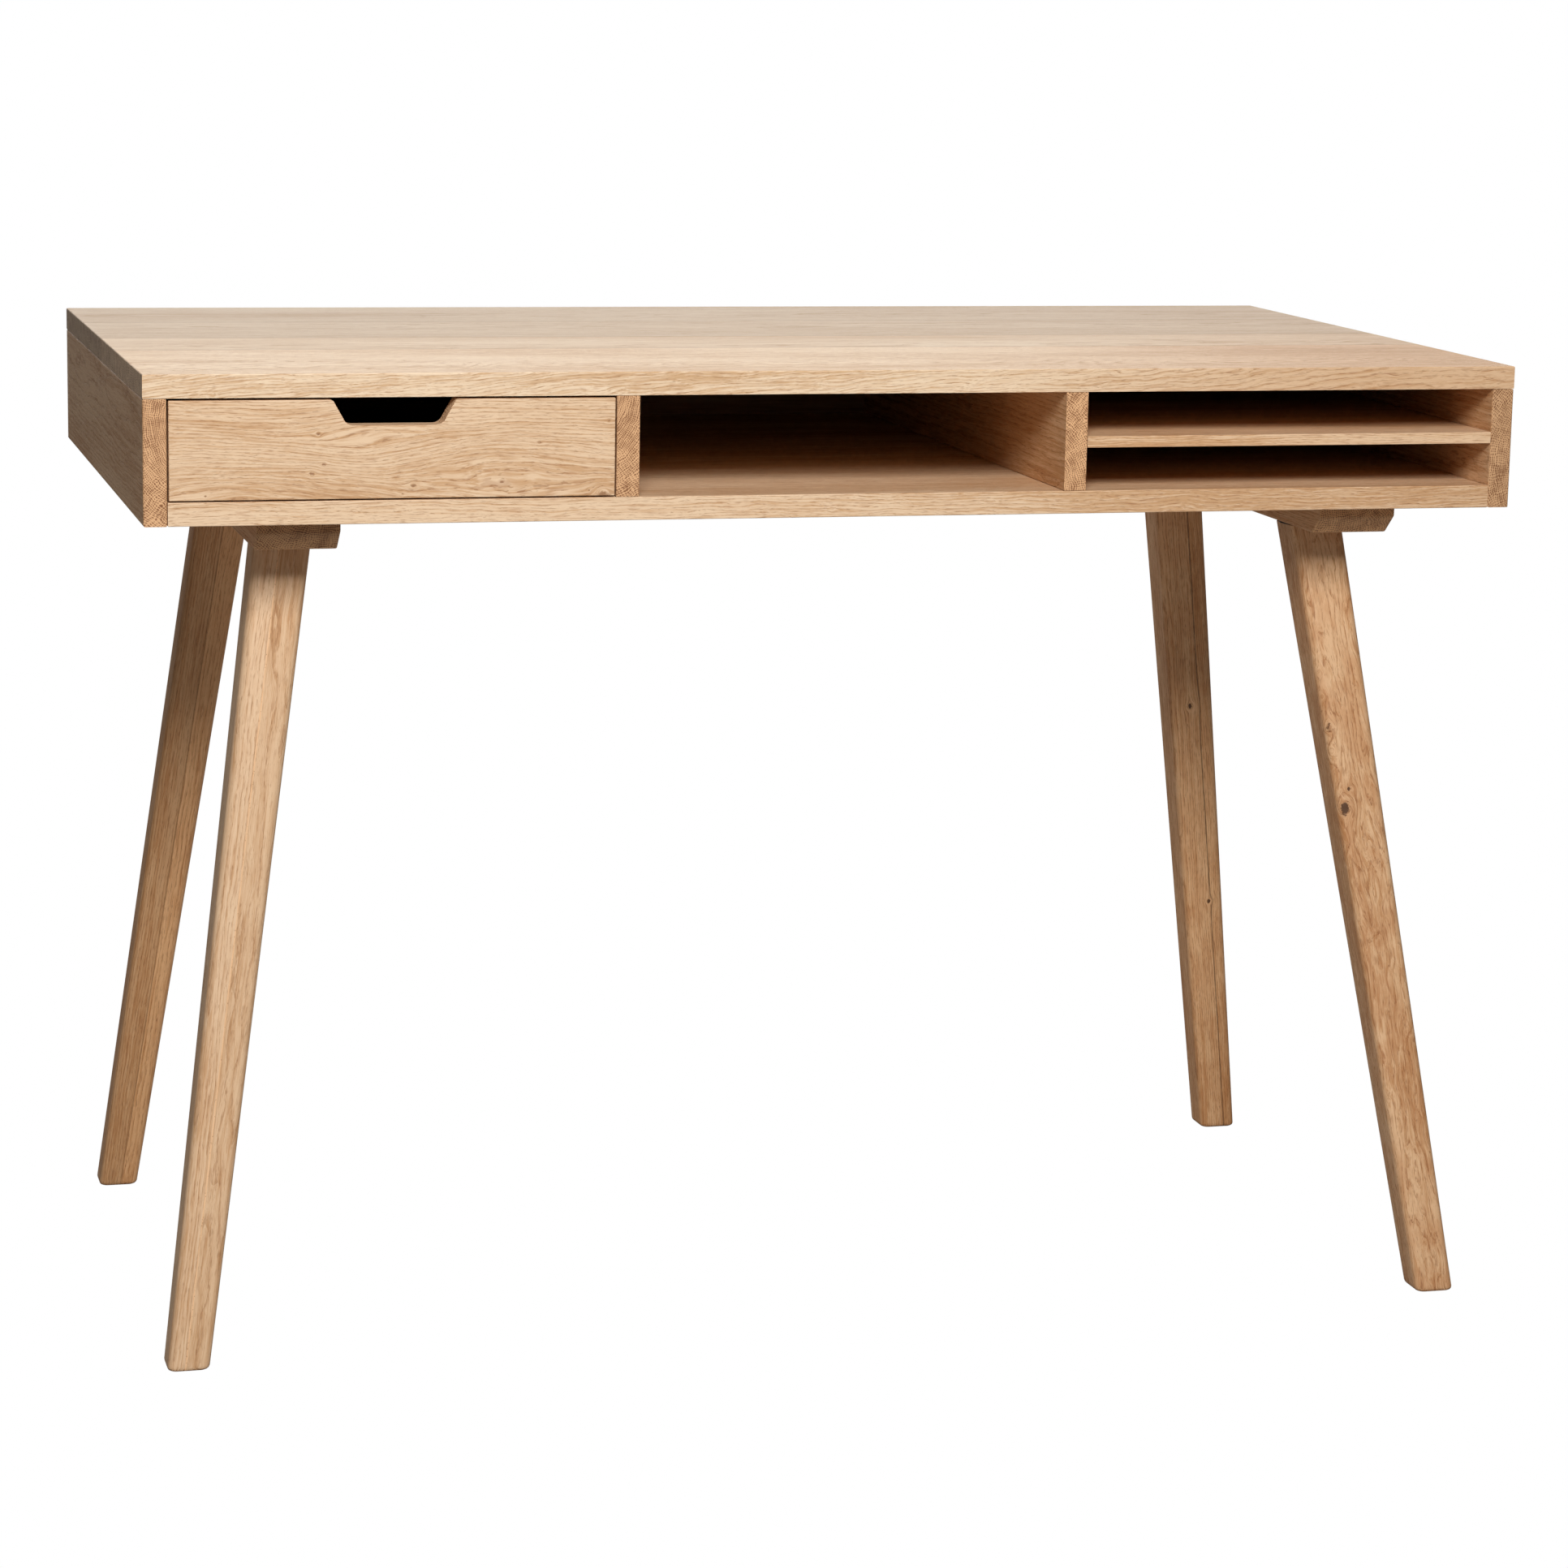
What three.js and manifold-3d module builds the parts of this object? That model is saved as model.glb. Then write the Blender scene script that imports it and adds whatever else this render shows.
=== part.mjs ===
// Writing desk: a shallow oak case on four splayed, tapered legs. The case holds a drawer on the
// left, an open bay in the middle and a letter shelf on the right.
// Millimetres, +Z up, +X to the sitter's right, the front faces -Y. The origin is on the floor,
// under the centre of the case.
import * as THREE from "three";
import { mergeVertices } from "three/addons/utils/BufferGeometryUtils.js";
import Module from "manifold-3d";

// ---------------------------------------------------------------- driving dimensions

// Case
const deskWidth = 1100;
const deskDepth = 600;
const deskHeight = 775;
const boardThickness = 18;
const bayHeight = 78;
const frontStaveWidth = 196;
const secondStaveWidth = 104;
const glueGap = 0.3; // between faces that are glued together or rest on each other

// Tongues that join the uprights to the top and the bottom
const tongueThickness = 6;
const tongueDepth = 5;
const tongueSetback = 20; // from the front edge, so that no joint shows there

// Back panel, let into grooves in the case
const panelThickness = 6;
const panelInset = 10;
const panelHousing = 4;

// Letter shelf
const shelfThickness = 9;
const lowerSlotHeight = 34;
const shelfHousing = 5;
const shelfNotch = 12;

// Drawer
const drawerSideGap = 1.2;
const drawerTopGap = 1.8;
const drawerFloorGap = 1.2; // under the drawer front
const drawerRunGap = 0.3; // under the drawer sides, which run on the bottom board
const drawerFrontThickness = 18;
const drawerWallThickness = 12;
const drawerWallDrop = 16; // from the front's top edge to the top of the walls
const drawerLap = 6; // what the front leaves over the ends of the sides
const drawerBackHousing = 4;
const drawerBackSetback = 10;
const drawerBackDrop = 5; // from the top of the sides to the top of the back
const drawerBottomThickness = 5;
const drawerBottomHousing = 5;
const drawerBottomLift = 6;
const stopWidth = 20;
const stopDepth = 15;
const stopHeight = 25;
const stopInset = 4; // from the wall of the bay
const stopPanelGap = 8; // behind the stops

// Finger cut-out in the drawer front
const cutTopWidth = 94;
const cutBottomWidth = 72;
const cutDepth = 19.5;
const cutTopRadius = 4;
const cutBottomRadius = 8.6;

// Cleats under the case
const cleatWidth = 64;
const cleatThickness = 24;
const cleatEndInset = 25.5;
const cleatEndHeight = 10;
const cleatEndSlope = 16.5;

// Legs
const legTopWidth = 45;
const legFootWidth = 33;
const legEdgeRadius = 5;
const legTopEndInset = 120; // leg top's centre from the end of the case
const legTopFaceInset = 130; // leg top's centre from the front or rear of the case
const footEndInset = 12.5; // foot's outer face from the end of the case
const frontFootInset = 0;
const rearFootInset = 43.5;

// Leg fixings
const plateRadius = 25;
const plateThickness = 3;
const boltRadius = 4;
const boltInLeg = 42;
const boltInCleat = 20;
const boltTip = 5;
const nutFlangeRadius = 11;
const nutFlangeThickness = 1.6;
const nutBarrelWall = 1.5;
const nutBarrelLength = 10;

// Screws
const screwRadius = 2;
const screwHeadRadius = 4;
const screwTip = 5;
const cleatScrewLength = 36;
const cleatScrewEndInset = 45;
const cleatScrewCentreInset = 70;
const panelScrewLength = 28;
const panelScrewInset = 15;
const bottomScrewLength = 18;
const bottomScrewInset = 60;

// Segments in round shapes
const turnSegments = 16; // round a full turn
const legEdgeSegments = 4; // round each edge of a leg
const cutSegments = 10; // round each corner of the finger cut-out

// ---------------------------------------------------------------- places worked out from them

const left = -deskWidth / 2;
const right = deskWidth / 2;
const front = -deskDepth / 2;
const rear = deskDepth / 2;
const bayCount = 3;
const bayWidth = (deskWidth - (bayCount + 1) * boardThickness) / bayCount;
const topUnderside = deskHeight - boardThickness;
const bayFloor = topUnderside - bayHeight;
const caseUnderside = bayFloor - boardThickness;
const panelRear = rear - panelInset;
const panelFront = panelRear - panelThickness;
const panelGrooveFront = panelFront - glueGap;
const cleatTop = caseUnderside - glueGap;
const cleatUnderside = cleatTop - cleatThickness;
const plateTop = cleatUnderside - glueGap;
const legTop = plateTop - plateThickness - glueGap;
const bottomMiddle = bayFloor - boardThickness / 2;

// The left face of upright number i: 0 and 3 are the side panels, 1 and 2 the dividers.
const uprightX = (i) => left + i * (bayWidth + boardThickness);

// ---------------------------------------------------------------- materials

const oakCase = new THREE.MeshStandardMaterial({ color: 0xdcbf9c, roughness: 0.62 });
const oakLeg = new THREE.MeshStandardMaterial({ color: 0xa67c55, roughness: 0.66 });
const plywood = new THREE.MeshStandardMaterial({ color: 0xc9a77c, roughness: 0.7 });
const steel = new THREE.MeshStandardMaterial({ color: 0xb8b8b4, roughness: 0.35, metalness: 1 });
const darkSteel = new THREE.MeshStandardMaterial({ color: 0x2b2a29, roughness: 0.5, metalness: 1 });

// ---------------------------------------------------------------- solids

const wasm = await Module();
wasm.setup();

// A closed three.js geometry as a solid that can be joined and cut.
function solidOf(geometry) {
  const bare = geometry.clone();
  bare.deleteAttribute("normal");
  bare.deleteAttribute("uv");
  const merged = mergeVertices(bare);
  const triangles = new Uint32Array(merged.index.array);
  const vertices = merged.attributes.position.array;
  return new wasm.Manifold(
    new wasm.Mesh({ numProp: 3, vertProperties: vertices, triVerts: triangles }),
  );
}

// A solid back as a three.js geometry.
function geometryOf(solid) {
  const mesh = solid.getMesh();
  const geometry = new THREE.BufferGeometry();
  geometry.setAttribute("position", new THREE.BufferAttribute(mesh.vertProperties, 3));
  geometry.setIndex(new THREE.BufferAttribute(mesh.triVerts, 1));
  geometry.computeVertexNormals();
  return geometry;
}

// A box from its two opposite corners.
function block(low, high) {
  const size = high.map((value, axis) => value - low[axis]);
  const centre = high.map((value, axis) => (value + low[axis]) / 2);
  const geometry = new THREE.BoxGeometry(...size);
  geometry.translate(...centre);
  return solidOf(geometry);
}

// The room that a box needs in the piece it fits into.
function roomFor(low, high) {
  return block(
    low.map((value) => value - glueGap),
    high.map((value) => value + glueGap),
  );
}

// A closed outline through corners [x, y, radius], each corner rounded by its radius.
function roundedOutline(corners) {
  const shape = new THREE.Shape();
  corners.forEach(([x, y, radius], i) => {
    const corner = new THREE.Vector2(x, y);
    const back = new THREE.Vector2(...corners.at(i - 1)).sub(corner).normalize();
    const ahead = new THREE.Vector2(...corners[(i + 1) % corners.length]).sub(corner).normalize();
    const half = back.angleTo(ahead) / 2;
    const reach = radius / Math.tan(half);
    const start = corner.clone().addScaledVector(back, reach);
    if (i === 0) shape.moveTo(start.x, start.y);
    else shape.lineTo(start.x, start.y);
    if (radius === 0) return;
    const end = corner.clone().addScaledVector(ahead, reach);
    const inward = back.clone().add(ahead).normalize();
    const centre = corner.clone().addScaledVector(inward, radius / Math.sin(half));
    const from = Math.atan2(start.y - centre.y, start.x - centre.x);
    const to = Math.atan2(end.y - centre.y, end.x - centre.x);
    shape.absarc(centre.x, centre.y, radius, from, to, back.cross(ahead) > 0);
  });
  shape.closePath();
  return shape;
}

// An outline drawn in Y and Z, pulled along +X.
function pulledAlongX(shape, length) {
  const geometry = new THREE.ExtrudeGeometry(shape, { depth: length, bevelEnabled: false });
  const axes = new THREE.Matrix4().makeBasis(
    new THREE.Vector3(0, 1, 0),
    new THREE.Vector3(0, 0, 1),
    new THREE.Vector3(1, 0, 0),
  );
  return solidOf(geometry.applyMatrix4(axes));
}

// An outline drawn in X and Z, pulled along -Y.
function pulledForward(shape, length) {
  const geometry = new THREE.ExtrudeGeometry(shape, {
    depth: length,
    bevelEnabled: false,
    curveSegments: cutSegments,
  });
  return solidOf(geometry.rotateX(Math.PI / 2));
}

// A profile of [radius, height] points turned about the Z axis.
function turned(profile) {
  const points = profile.map(([radius, height]) => new THREE.Vector2(radius, height));
  const geometry = new THREE.LatheGeometry(points, turnSegments);
  return solidOf(geometry.rotateX(Math.PI / 2));
}

// A countersunk wood screw that points down, with its head's face at the origin. With room, it is
// the hole that the screw turns into.
function screw(length, room = 0) {
  const profile = [
    [0, -length - room],
    [screwRadius + room, screwTip - length],
    [screwRadius + room, screwRadius - screwHeadRadius],
    [screwHeadRadius + room, 0],
  ];
  if (room > 0) profile.push([screwHeadRadius + room, room]);
  profile.push([0, room]);
  return turned(profile);
}

// ---------------------------------------------------------------- the model

const desk = new THREE.Group();

function addPiece(name, solid, material, parent = desk) {
  const mesh = new THREE.Mesh(geometryOf(solid), material);
  mesh.name = name;
  parent.add(mesh);
}

// ---------------------------------------------------------------- joints between the boards

// The tongue on the top edge of upright i, which stands in the top.
function topTongue(i) {
  const middle = uprightX(i) + boardThickness / 2;
  const isSide = i === 0 || i === bayCount;
  return [
    [middle - tongueThickness / 2, front + tongueSetback, topUnderside - tongueDepth],
    [middle + tongueThickness / 2, isSide ? rear : panelGrooveFront, topUnderside + tongueDepth],
  ];
}

// The tongue on the lower edge of divider i, which stands in the bottom board.
function floorTongue(i) {
  const [low, high] = topTongue(i);
  low[2] = bayFloor - tongueDepth;
  high[2] = bayFloor + tongueDepth;
  return [low, high];
}

// The tongue at one end of the bottom board, which stands in a side panel.
function endTongue(side) {
  const face = side * (right - boardThickness);
  return [
    [face - tongueDepth, front + tongueSetback, bottomMiddle - tongueThickness / 2],
    [face + tongueDepth, rear, bottomMiddle + tongueThickness / 2],
  ];
}

// The back panel stands in grooves in the sides, the top and the bottom board.
const panelCorners = [
  [left + boardThickness - panelHousing, panelFront, bayFloor - panelHousing],
  [right - boardThickness + panelHousing, panelRear, topUnderside + panelHousing],
];

const shelfUnderside = bayFloor + lowerSlotHeight;
const shelfLeft = uprightX(2) + boardThickness;
const shelfRight = uprightX(3);

// The housed ends of the letter shelf start behind the front edge.
const shelfHousedCorners = [
  [shelfLeft - shelfHousing, front + shelfNotch, shelfUnderside],
  [shelfRight + shelfHousing, panelGrooveFront, shelfUnderside + shelfThickness],
];

// ---------------------------------------------------------------- top, four staves edge to edge

function addTop() {
  const rearStaveWidth = (deskDepth - frontStaveWidth - secondStaveWidth) / 2;
  const staves = [
    ["top_stave_front", frontStaveWidth],
    ["top_stave_second", secondStaveWidth],
    ["top_stave_third", rearStaveWidth],
    ["top_stave_rear", rearStaveWidth],
  ];
  let edge = front;
  staves.forEach(([name, width], i) => {
    const isLast = i === staves.length - 1;
    const far = edge + width - (isLast ? 0 : glueGap);
    let stave = block([left, edge, topUnderside], [right, far, deskHeight]);
    for (let upright = 0; upright <= bayCount; upright += 1) {
      stave = stave.subtract(roomFor(...topTongue(upright)));
    }
    stave = stave.subtract(roomFor(...panelCorners));
    addPiece(name, stave, oakCase);
    edge += width;
  });
}

// ---------------------------------------------------------------- uprights

function addSidePanel(name, i, side) {
  const x = uprightX(i);
  const low = [x, front, caseUnderside];
  const high = [x + boardThickness, rear, topUnderside - glueGap];
  let panel = block(low, high).add(block(...topTongue(i)));
  panel = panel.subtract(roomFor(...endTongue(side)));
  panel = panel.subtract(roomFor(...panelCorners));
  panel = panel.subtract(roomFor(...shelfHousedCorners));
  addPiece(name, panel, oakCase);
}

function addDivider(name, i) {
  const x = uprightX(i);
  const low = [x, front, bayFloor + glueGap];
  const high = [x + boardThickness, panelGrooveFront, topUnderside - glueGap];
  let divider = block(low, high).add(block(...topTongue(i))).add(block(...floorTongue(i)));
  divider = divider.subtract(roomFor(...shelfHousedCorners));
  for (const hole of panelScrewPlaces(i)) {
    divider = divider.subtract(screw(panelScrewLength, glueGap).rotate(...forward).translate(hole));
  }
  addPiece(name, divider, oakCase);
}

// ---------------------------------------------------------------- bottom board

function addBottomBoard() {
  const low = [left + boardThickness + glueGap, front, caseUnderside];
  const high = [right - boardThickness - glueGap, rear, bayFloor];
  let bottom = block(low, high);
  for (const side of [-1, 1]) bottom = bottom.add(block(...endTongue(side)));
  for (const i of [1, 2]) bottom = bottom.subtract(roomFor(...floorTongue(i)));
  bottom = bottom.subtract(roomFor(...panelCorners));
  for (const side of [-1, 1]) {
    for (const place of cleatScrewPlaces(side)) {
      bottom = bottom.subtract(screw(cleatScrewLength, glueGap).rotate(...upward).translate(place));
    }
  }
  addPiece("bottom_board", bottom, oakCase);
}

// ---------------------------------------------------------------- back panel and its screws

const forward = [-90, 0, 0]; // turns a screw that points down to point towards the front
const upward = [180, 0, 0]; // turns it to point up

// The heads of the screws that hold the back panel to divider i.
function panelScrewPlaces(i) {
  const x = uprightX(i) + boardThickness / 2;
  return [
    [x, panelRear, topUnderside - panelScrewInset],
    [x, panelRear, bayFloor + panelScrewInset],
  ];
}

function addBackPanel() {
  let panel = block(...panelCorners);
  const dividers = [["left", 1], ["right", 2]];
  for (const [side, i] of dividers) {
    const levels = ["upper", "lower"];
    panelScrewPlaces(i).forEach((place, level) => {
      panel = panel.subtract(screw(panelScrewLength, glueGap).rotate(...forward).translate(place));
      const fixing = screw(panelScrewLength).rotate(...forward).translate(place);
      addPiece(`back_panel_screw_${side}_${levels[level]}`, fixing, steel);
    });
  }
  addPiece("back_panel", panel, plywood);
}

// ---------------------------------------------------------------- letter shelf

function addLetterShelf() {
  const low = [shelfLeft + glueGap, front, shelfUnderside];
  const high = [shelfRight - glueGap, panelGrooveFront, shelfUnderside + shelfThickness];
  addPiece("letter_shelf", block(low, high).add(block(...shelfHousedCorners)), oakCase);
}

// ---------------------------------------------------------------- drawer

const drawer = new THREE.Group();
const drawerLeft = uprightX(0) + boardThickness + drawerSideGap;
const drawerRight = uprightX(1) - drawerSideGap;
const drawerMiddle = (drawerLeft + drawerRight) / 2;
const drawerFrontTop = topUnderside - drawerTopGap;
const drawerFrontBack = front + drawerFrontThickness;
const stopFront = panelFront - stopPanelGap - stopDepth;
const drawerRear = stopFront - glueGap;
const wallFloor = bayFloor + drawerRunGap;
const wallTop = drawerFrontTop - drawerWallDrop;
const wallFront = front + drawerLap + glueGap;
const sheetUnderside = wallFloor + drawerBottomLift;
const sheetTop = sheetUnderside + drawerBottomThickness;
const drawerBackRear = drawerRear - drawerBackSetback;
const drawerBackFront = drawerBackRear - drawerWallThickness;

// The bottom sheet stands in grooves in the sides and the front, and runs on under the back.
const sheetCorners = [
  [
    drawerLeft + drawerWallThickness - drawerBottomHousing,
    drawerFrontBack - drawerBottomHousing,
    sheetUnderside,
  ],
  [drawerRight - drawerWallThickness + drawerBottomHousing, drawerBackRear, sheetTop],
];

// The back stands in housings in the sides.
const drawerBackCorners = [
  [drawerLeft + drawerWallThickness - drawerBackHousing, drawerBackFront, sheetTop + glueGap],
  [
    drawerRight - drawerWallThickness + drawerBackHousing,
    drawerBackRear,
    wallTop - drawerBackDrop,
  ],
];

// The side's place in the drawer, which is also its lap in the front.
function drawerSideCorners(side) {
  const outer = side < 0 ? drawerLeft : drawerRight;
  const inner = outer - side * drawerWallThickness;
  return [
    [Math.min(outer, inner), wallFront, wallFloor],
    [Math.max(outer, inner), drawerRear, wallTop],
  ];
}

// The cut-out's outline in X and Z, open at the top edge of the drawer front.
function fingerCutOutline() {
  const above = drawerTopGap;
  const wide = cutTopWidth / 2;
  const narrow = cutBottomWidth / 2;
  const far = wide + cutTopRadius * 2;
  return roundedOutline([
    [-far, above, 0],
    [-far, 0, 0],
    [-wide, 0, cutTopRadius],
    [-narrow, -cutDepth, cutBottomRadius],
    [narrow, -cutDepth, cutBottomRadius],
    [wide, 0, cutTopRadius],
    [far, 0, 0],
    [far, above, 0],
  ]);
}

function addDrawerFront() {
  const low = [drawerLeft, front, bayFloor + drawerFloorGap];
  const high = [drawerRight, drawerFrontBack, drawerFrontTop];
  let face = block(low, high);
  for (const side of [-1, 1]) {
    const [lapLow, lapHigh] = drawerSideCorners(side);
    lapLow[2] = low[2] - glueGap;
    lapHigh[2] = high[2] + glueGap;
    face = face.subtract(roomFor(lapLow, lapHigh));
  }
  const cut = pulledForward(fingerCutOutline(), drawerFrontThickness * 2);
  const behind = drawerFrontBack + drawerFrontThickness / 2;
  face = face.subtract(cut.translate([drawerMiddle, behind, drawerFrontTop]));
  face = face.subtract(roomFor(...sheetCorners));
  addPiece("drawer_front", face, oakCase, drawer);
}

function addDrawerSides() {
  for (const [name, side] of [["drawer_side_left", -1], ["drawer_side_right", 1]]) {
    let wall = block(...drawerSideCorners(side));
    wall = wall.subtract(roomFor(...sheetCorners));
    wall = wall.subtract(roomFor(...drawerBackCorners));
    addPiece(name, wall, oakCase, drawer);
  }
}

function addDrawerBackAndBottom() {
  let back = block(...drawerBackCorners);
  let sheet = block(...sheetCorners);
  const middleOfBack = (drawerBackFront + drawerBackRear) / 2;
  for (const [name, side] of [["left", -1], ["right", 1]]) {
    const edge = side < 0 ? drawerLeft : drawerRight;
    const place = [edge - side * bottomScrewInset, middleOfBack, sheetUnderside];
    const hole = screw(bottomScrewLength, glueGap).rotate(...upward).translate(place);
    back = back.subtract(hole);
    sheet = sheet.subtract(hole);
    const fixing = screw(bottomScrewLength).rotate(...upward).translate(place);
    addPiece(`drawer_bottom_screw_${name}`, fixing, steel, drawer);
  }
  addPiece("drawer_back", back, oakCase, drawer);
  addPiece("drawer_bottom", sheet, plywood, drawer);
}

// Two blocks on the bottom board stop the drawer with its front flush with the case.
function addDrawerStops() {
  const floor = bayFloor + glueGap;
  const stops = [
    ["drawer_stop_left", uprightX(0) + boardThickness + stopInset],
    ["drawer_stop_right", uprightX(1) - stopInset - stopWidth],
  ];
  for (const [name, x] of stops) {
    const low = [x, stopFront, floor];
    const high = [x + stopWidth, stopFront + stopDepth, floor + stopHeight];
    addPiece(name, block(low, high), oakCase);
  }
}

// ---------------------------------------------------------------- cleats and legs

const legX = right - legTopEndInset;
const legY = rear - legTopFaceInset;
const boltBore = boltRadius + glueGap;
const nutBarrelRadius = boltBore + nutBarrelWall;

// The heads of the screws that go up through one cleat into the bottom board.
function cleatScrewPlaces(side) {
  const end = rear - cleatEndInset - cleatScrewEndInset;
  const rows = [-end, -cleatScrewCentreInset, cleatScrewCentreInset, end];
  return rows.map((y) => [side * legX, y, cleatUnderside]);
}

// The cleat's side outline in Y and Z: square at the top, sloped under each end.
function cleatOutline() {
  const end = rear - cleatEndInset;
  const foot = end - cleatEndSlope;
  return roundedOutline([
    [-end, cleatTop, 0],
    [-end, cleatTop - cleatEndHeight, 0],
    [-foot, cleatUnderside, 0],
    [foot, cleatUnderside, 0],
    [end, cleatTop - cleatEndHeight, 0],
    [end, cleatTop, 0],
  ]);
}

// The nut's flange lies in the cleat's top face, and its barrel goes down into the cleat.
function teeNutProfile(inner, room) {
  return [
    [inner, -nutBarrelLength - room],
    [nutBarrelRadius + room, -nutBarrelLength - room],
    [nutBarrelRadius + room, -nutFlangeThickness - room],
    [nutFlangeRadius + room, -nutFlangeThickness - room],
    [nutFlangeRadius + room, room],
    [inner, room],
  ];
}

function teeNut() {
  const profile = teeNutProfile(boltBore, 0);
  return turned([...profile, profile[0]]);
}

function teeNutHole() {
  return turned(teeNutProfile(0, glueGap));
}

function legPlate() {
  return turned([
    [boltBore, -plateThickness],
    [plateRadius, -plateThickness],
    [plateRadius, 0],
    [boltBore, 0],
    [boltBore, -plateThickness],
  ]);
}

// The bolt's lower end is pointed and turns into the leg. Its upper end meets the nut.
function hangerBolt(room = 0) {
  return turned([
    [0, legTop - boltInLeg - room],
    [boltRadius + room, legTop - boltInLeg + boltTip],
    [boltRadius + room, cleatUnderside + boltInCleat + room],
    [0, cleatUnderside + boltInCleat + room],
  ]);
}

function addCleat(name, side) {
  const low = side * legX - cleatWidth / 2;
  let cleat = pulledAlongX(cleatOutline(), cleatWidth).translate([low, 0, 0]);
  for (const end of [-1, 1]) {
    const nutPlace = [side * legX, end * legY, cleatTop];
    const boltPlace = [side * legX, end * legY, 0];
    cleat = cleat.subtract(teeNutHole().translate(nutPlace));
    cleat = cleat.subtract(hangerBolt(glueGap).translate(boltPlace));
  }
  cleatScrewPlaces(side).forEach((place, i) => {
    cleat = cleat.subtract(screw(cleatScrewLength, glueGap).rotate(...upward).translate(place));
    const fixing = screw(cleatScrewLength).rotate(...upward).translate(place);
    addPiece(`${name}_screw_${i + 1}`, fixing, steel);
  });
  addPiece(name, cleat, oakLeg);
}

// A square leg with rounded edges, tapered from its level top to its level foot.
function legSolid(top, foot) {
  const half = legTopWidth / 2;
  const section = roundedOutline([
    [-half, -half, legEdgeRadius],
    [half, -half, legEdgeRadius],
    [half, half, legEdgeRadius],
    [-half, half, legEdgeRadius],
  ]);
  const geometry = new THREE.ExtrudeGeometry(section, {
    depth: legTop,
    bevelEnabled: false,
    curveSegments: legEdgeSegments,
  });
  const position = geometry.attributes.position;
  for (let i = 0; i < position.count; i += 1) {
    const up = position.getZ(i) / legTop;
    const width = THREE.MathUtils.lerp(legFootWidth / legTopWidth, 1, up);
    const centre = foot.clone().lerp(top, up);
    position.setX(i, centre.x + position.getX(i) * width);
    position.setY(i, centre.y + position.getY(i) * width);
  }
  return solidOf(geometry);
}

function addLeg(place, side, end) {
  const footInset = end < 0 ? frontFootInset : rearFootInset;
  const top = new THREE.Vector2(side * legX, end * legY);
  const foot = new THREE.Vector2(
    side * (right - footEndInset - legFootWidth / 2),
    end * (rear - footInset - legFootWidth / 2),
  );
  const boltPlace = [top.x, top.y, 0];
  const leg = legSolid(top, foot).subtract(hangerBolt(glueGap).translate(boltPlace));
  addPiece(`leg_${place}`, leg, oakLeg);
  addPiece(`leg_plate_${place}`, legPlate().translate([top.x, top.y, plateTop]), darkSteel);
  addPiece(`hanger_bolt_${place}`, hangerBolt().translate(boltPlace), steel);
  addPiece(`tee_nut_${place}`, teeNut().translate([top.x, top.y, cleatTop]), steel);
}

// ---------------------------------------------------------------- put together

addTop();
addSidePanel("side_panel_left", 0, -1);
addDivider("divider_left", 1);
addDivider("divider_right", 2);
addSidePanel("side_panel_right", 3, 1);
addBottomBoard();
addBackPanel();
addLetterShelf();
addDrawerStops();
addCleat("cleat_left", -1);
addCleat("cleat_right", 1);
addLeg("front_left", -1, -1);
addLeg("front_right", 1, -1);
addLeg("rear_left", -1, 1);
addLeg("rear_right", 1, 1);

addDrawerFront();
addDrawerSides();
addDrawerBackAndBottom();
desk.add(drawer);

export default desk;
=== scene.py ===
"""The finished look of an oak writing desk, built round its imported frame."""

import math
from dataclasses import dataclass

import bmesh
import bpy
from bpy.props import FloatProperty, FloatVectorProperty, IntProperty, PointerProperty
from mathutils import Matrix, Vector


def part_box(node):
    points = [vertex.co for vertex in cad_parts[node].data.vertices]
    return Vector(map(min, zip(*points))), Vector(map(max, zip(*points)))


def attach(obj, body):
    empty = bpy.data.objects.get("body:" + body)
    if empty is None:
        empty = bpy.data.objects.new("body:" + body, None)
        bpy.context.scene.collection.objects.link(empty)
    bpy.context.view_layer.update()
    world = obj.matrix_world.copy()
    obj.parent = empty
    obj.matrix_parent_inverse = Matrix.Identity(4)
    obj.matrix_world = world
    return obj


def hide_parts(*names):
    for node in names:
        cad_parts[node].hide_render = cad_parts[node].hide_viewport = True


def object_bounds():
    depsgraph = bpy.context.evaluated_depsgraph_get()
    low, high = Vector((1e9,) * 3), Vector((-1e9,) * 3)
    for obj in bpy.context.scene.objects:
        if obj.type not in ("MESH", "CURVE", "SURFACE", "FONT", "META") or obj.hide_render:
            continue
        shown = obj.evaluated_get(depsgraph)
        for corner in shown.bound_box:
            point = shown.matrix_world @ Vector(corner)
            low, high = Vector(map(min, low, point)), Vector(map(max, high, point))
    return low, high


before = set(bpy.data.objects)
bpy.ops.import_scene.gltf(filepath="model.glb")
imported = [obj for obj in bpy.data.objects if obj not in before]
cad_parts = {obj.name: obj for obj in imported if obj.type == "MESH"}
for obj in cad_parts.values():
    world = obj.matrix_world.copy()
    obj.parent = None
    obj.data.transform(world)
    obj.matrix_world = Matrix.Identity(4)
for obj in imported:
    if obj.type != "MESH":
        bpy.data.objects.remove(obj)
CAD_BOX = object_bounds()

bl_info = {
    "name": "Oak writing desk",
    "version": (1, 0, 0),
    "blender": (4, 5, 0),
    "location": "3D View > Sidebar > Desk",
    "description": "Builds the boards, legs, drawer, screws and studio of an oak writing desk",
    "category": "Add Mesh",
}

MM = 0.001
ALONG_X = (1.0, 0.0, 0.0)
ALONG_Y = (0.0, 1.0, 0.0)
ALONG_Z = (0.0, 0.0, 1.0)
TIDY_MERGE = 1e-5
MERGE = 1e-6
FLAT_ANGLE = math.radians(1)
CORNER_ANGLE = math.radians(35)
EASE_SEGMENTS = 3
WHITE = (1.0, 1.0, 1.0)


# ------ what a user can change


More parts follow.
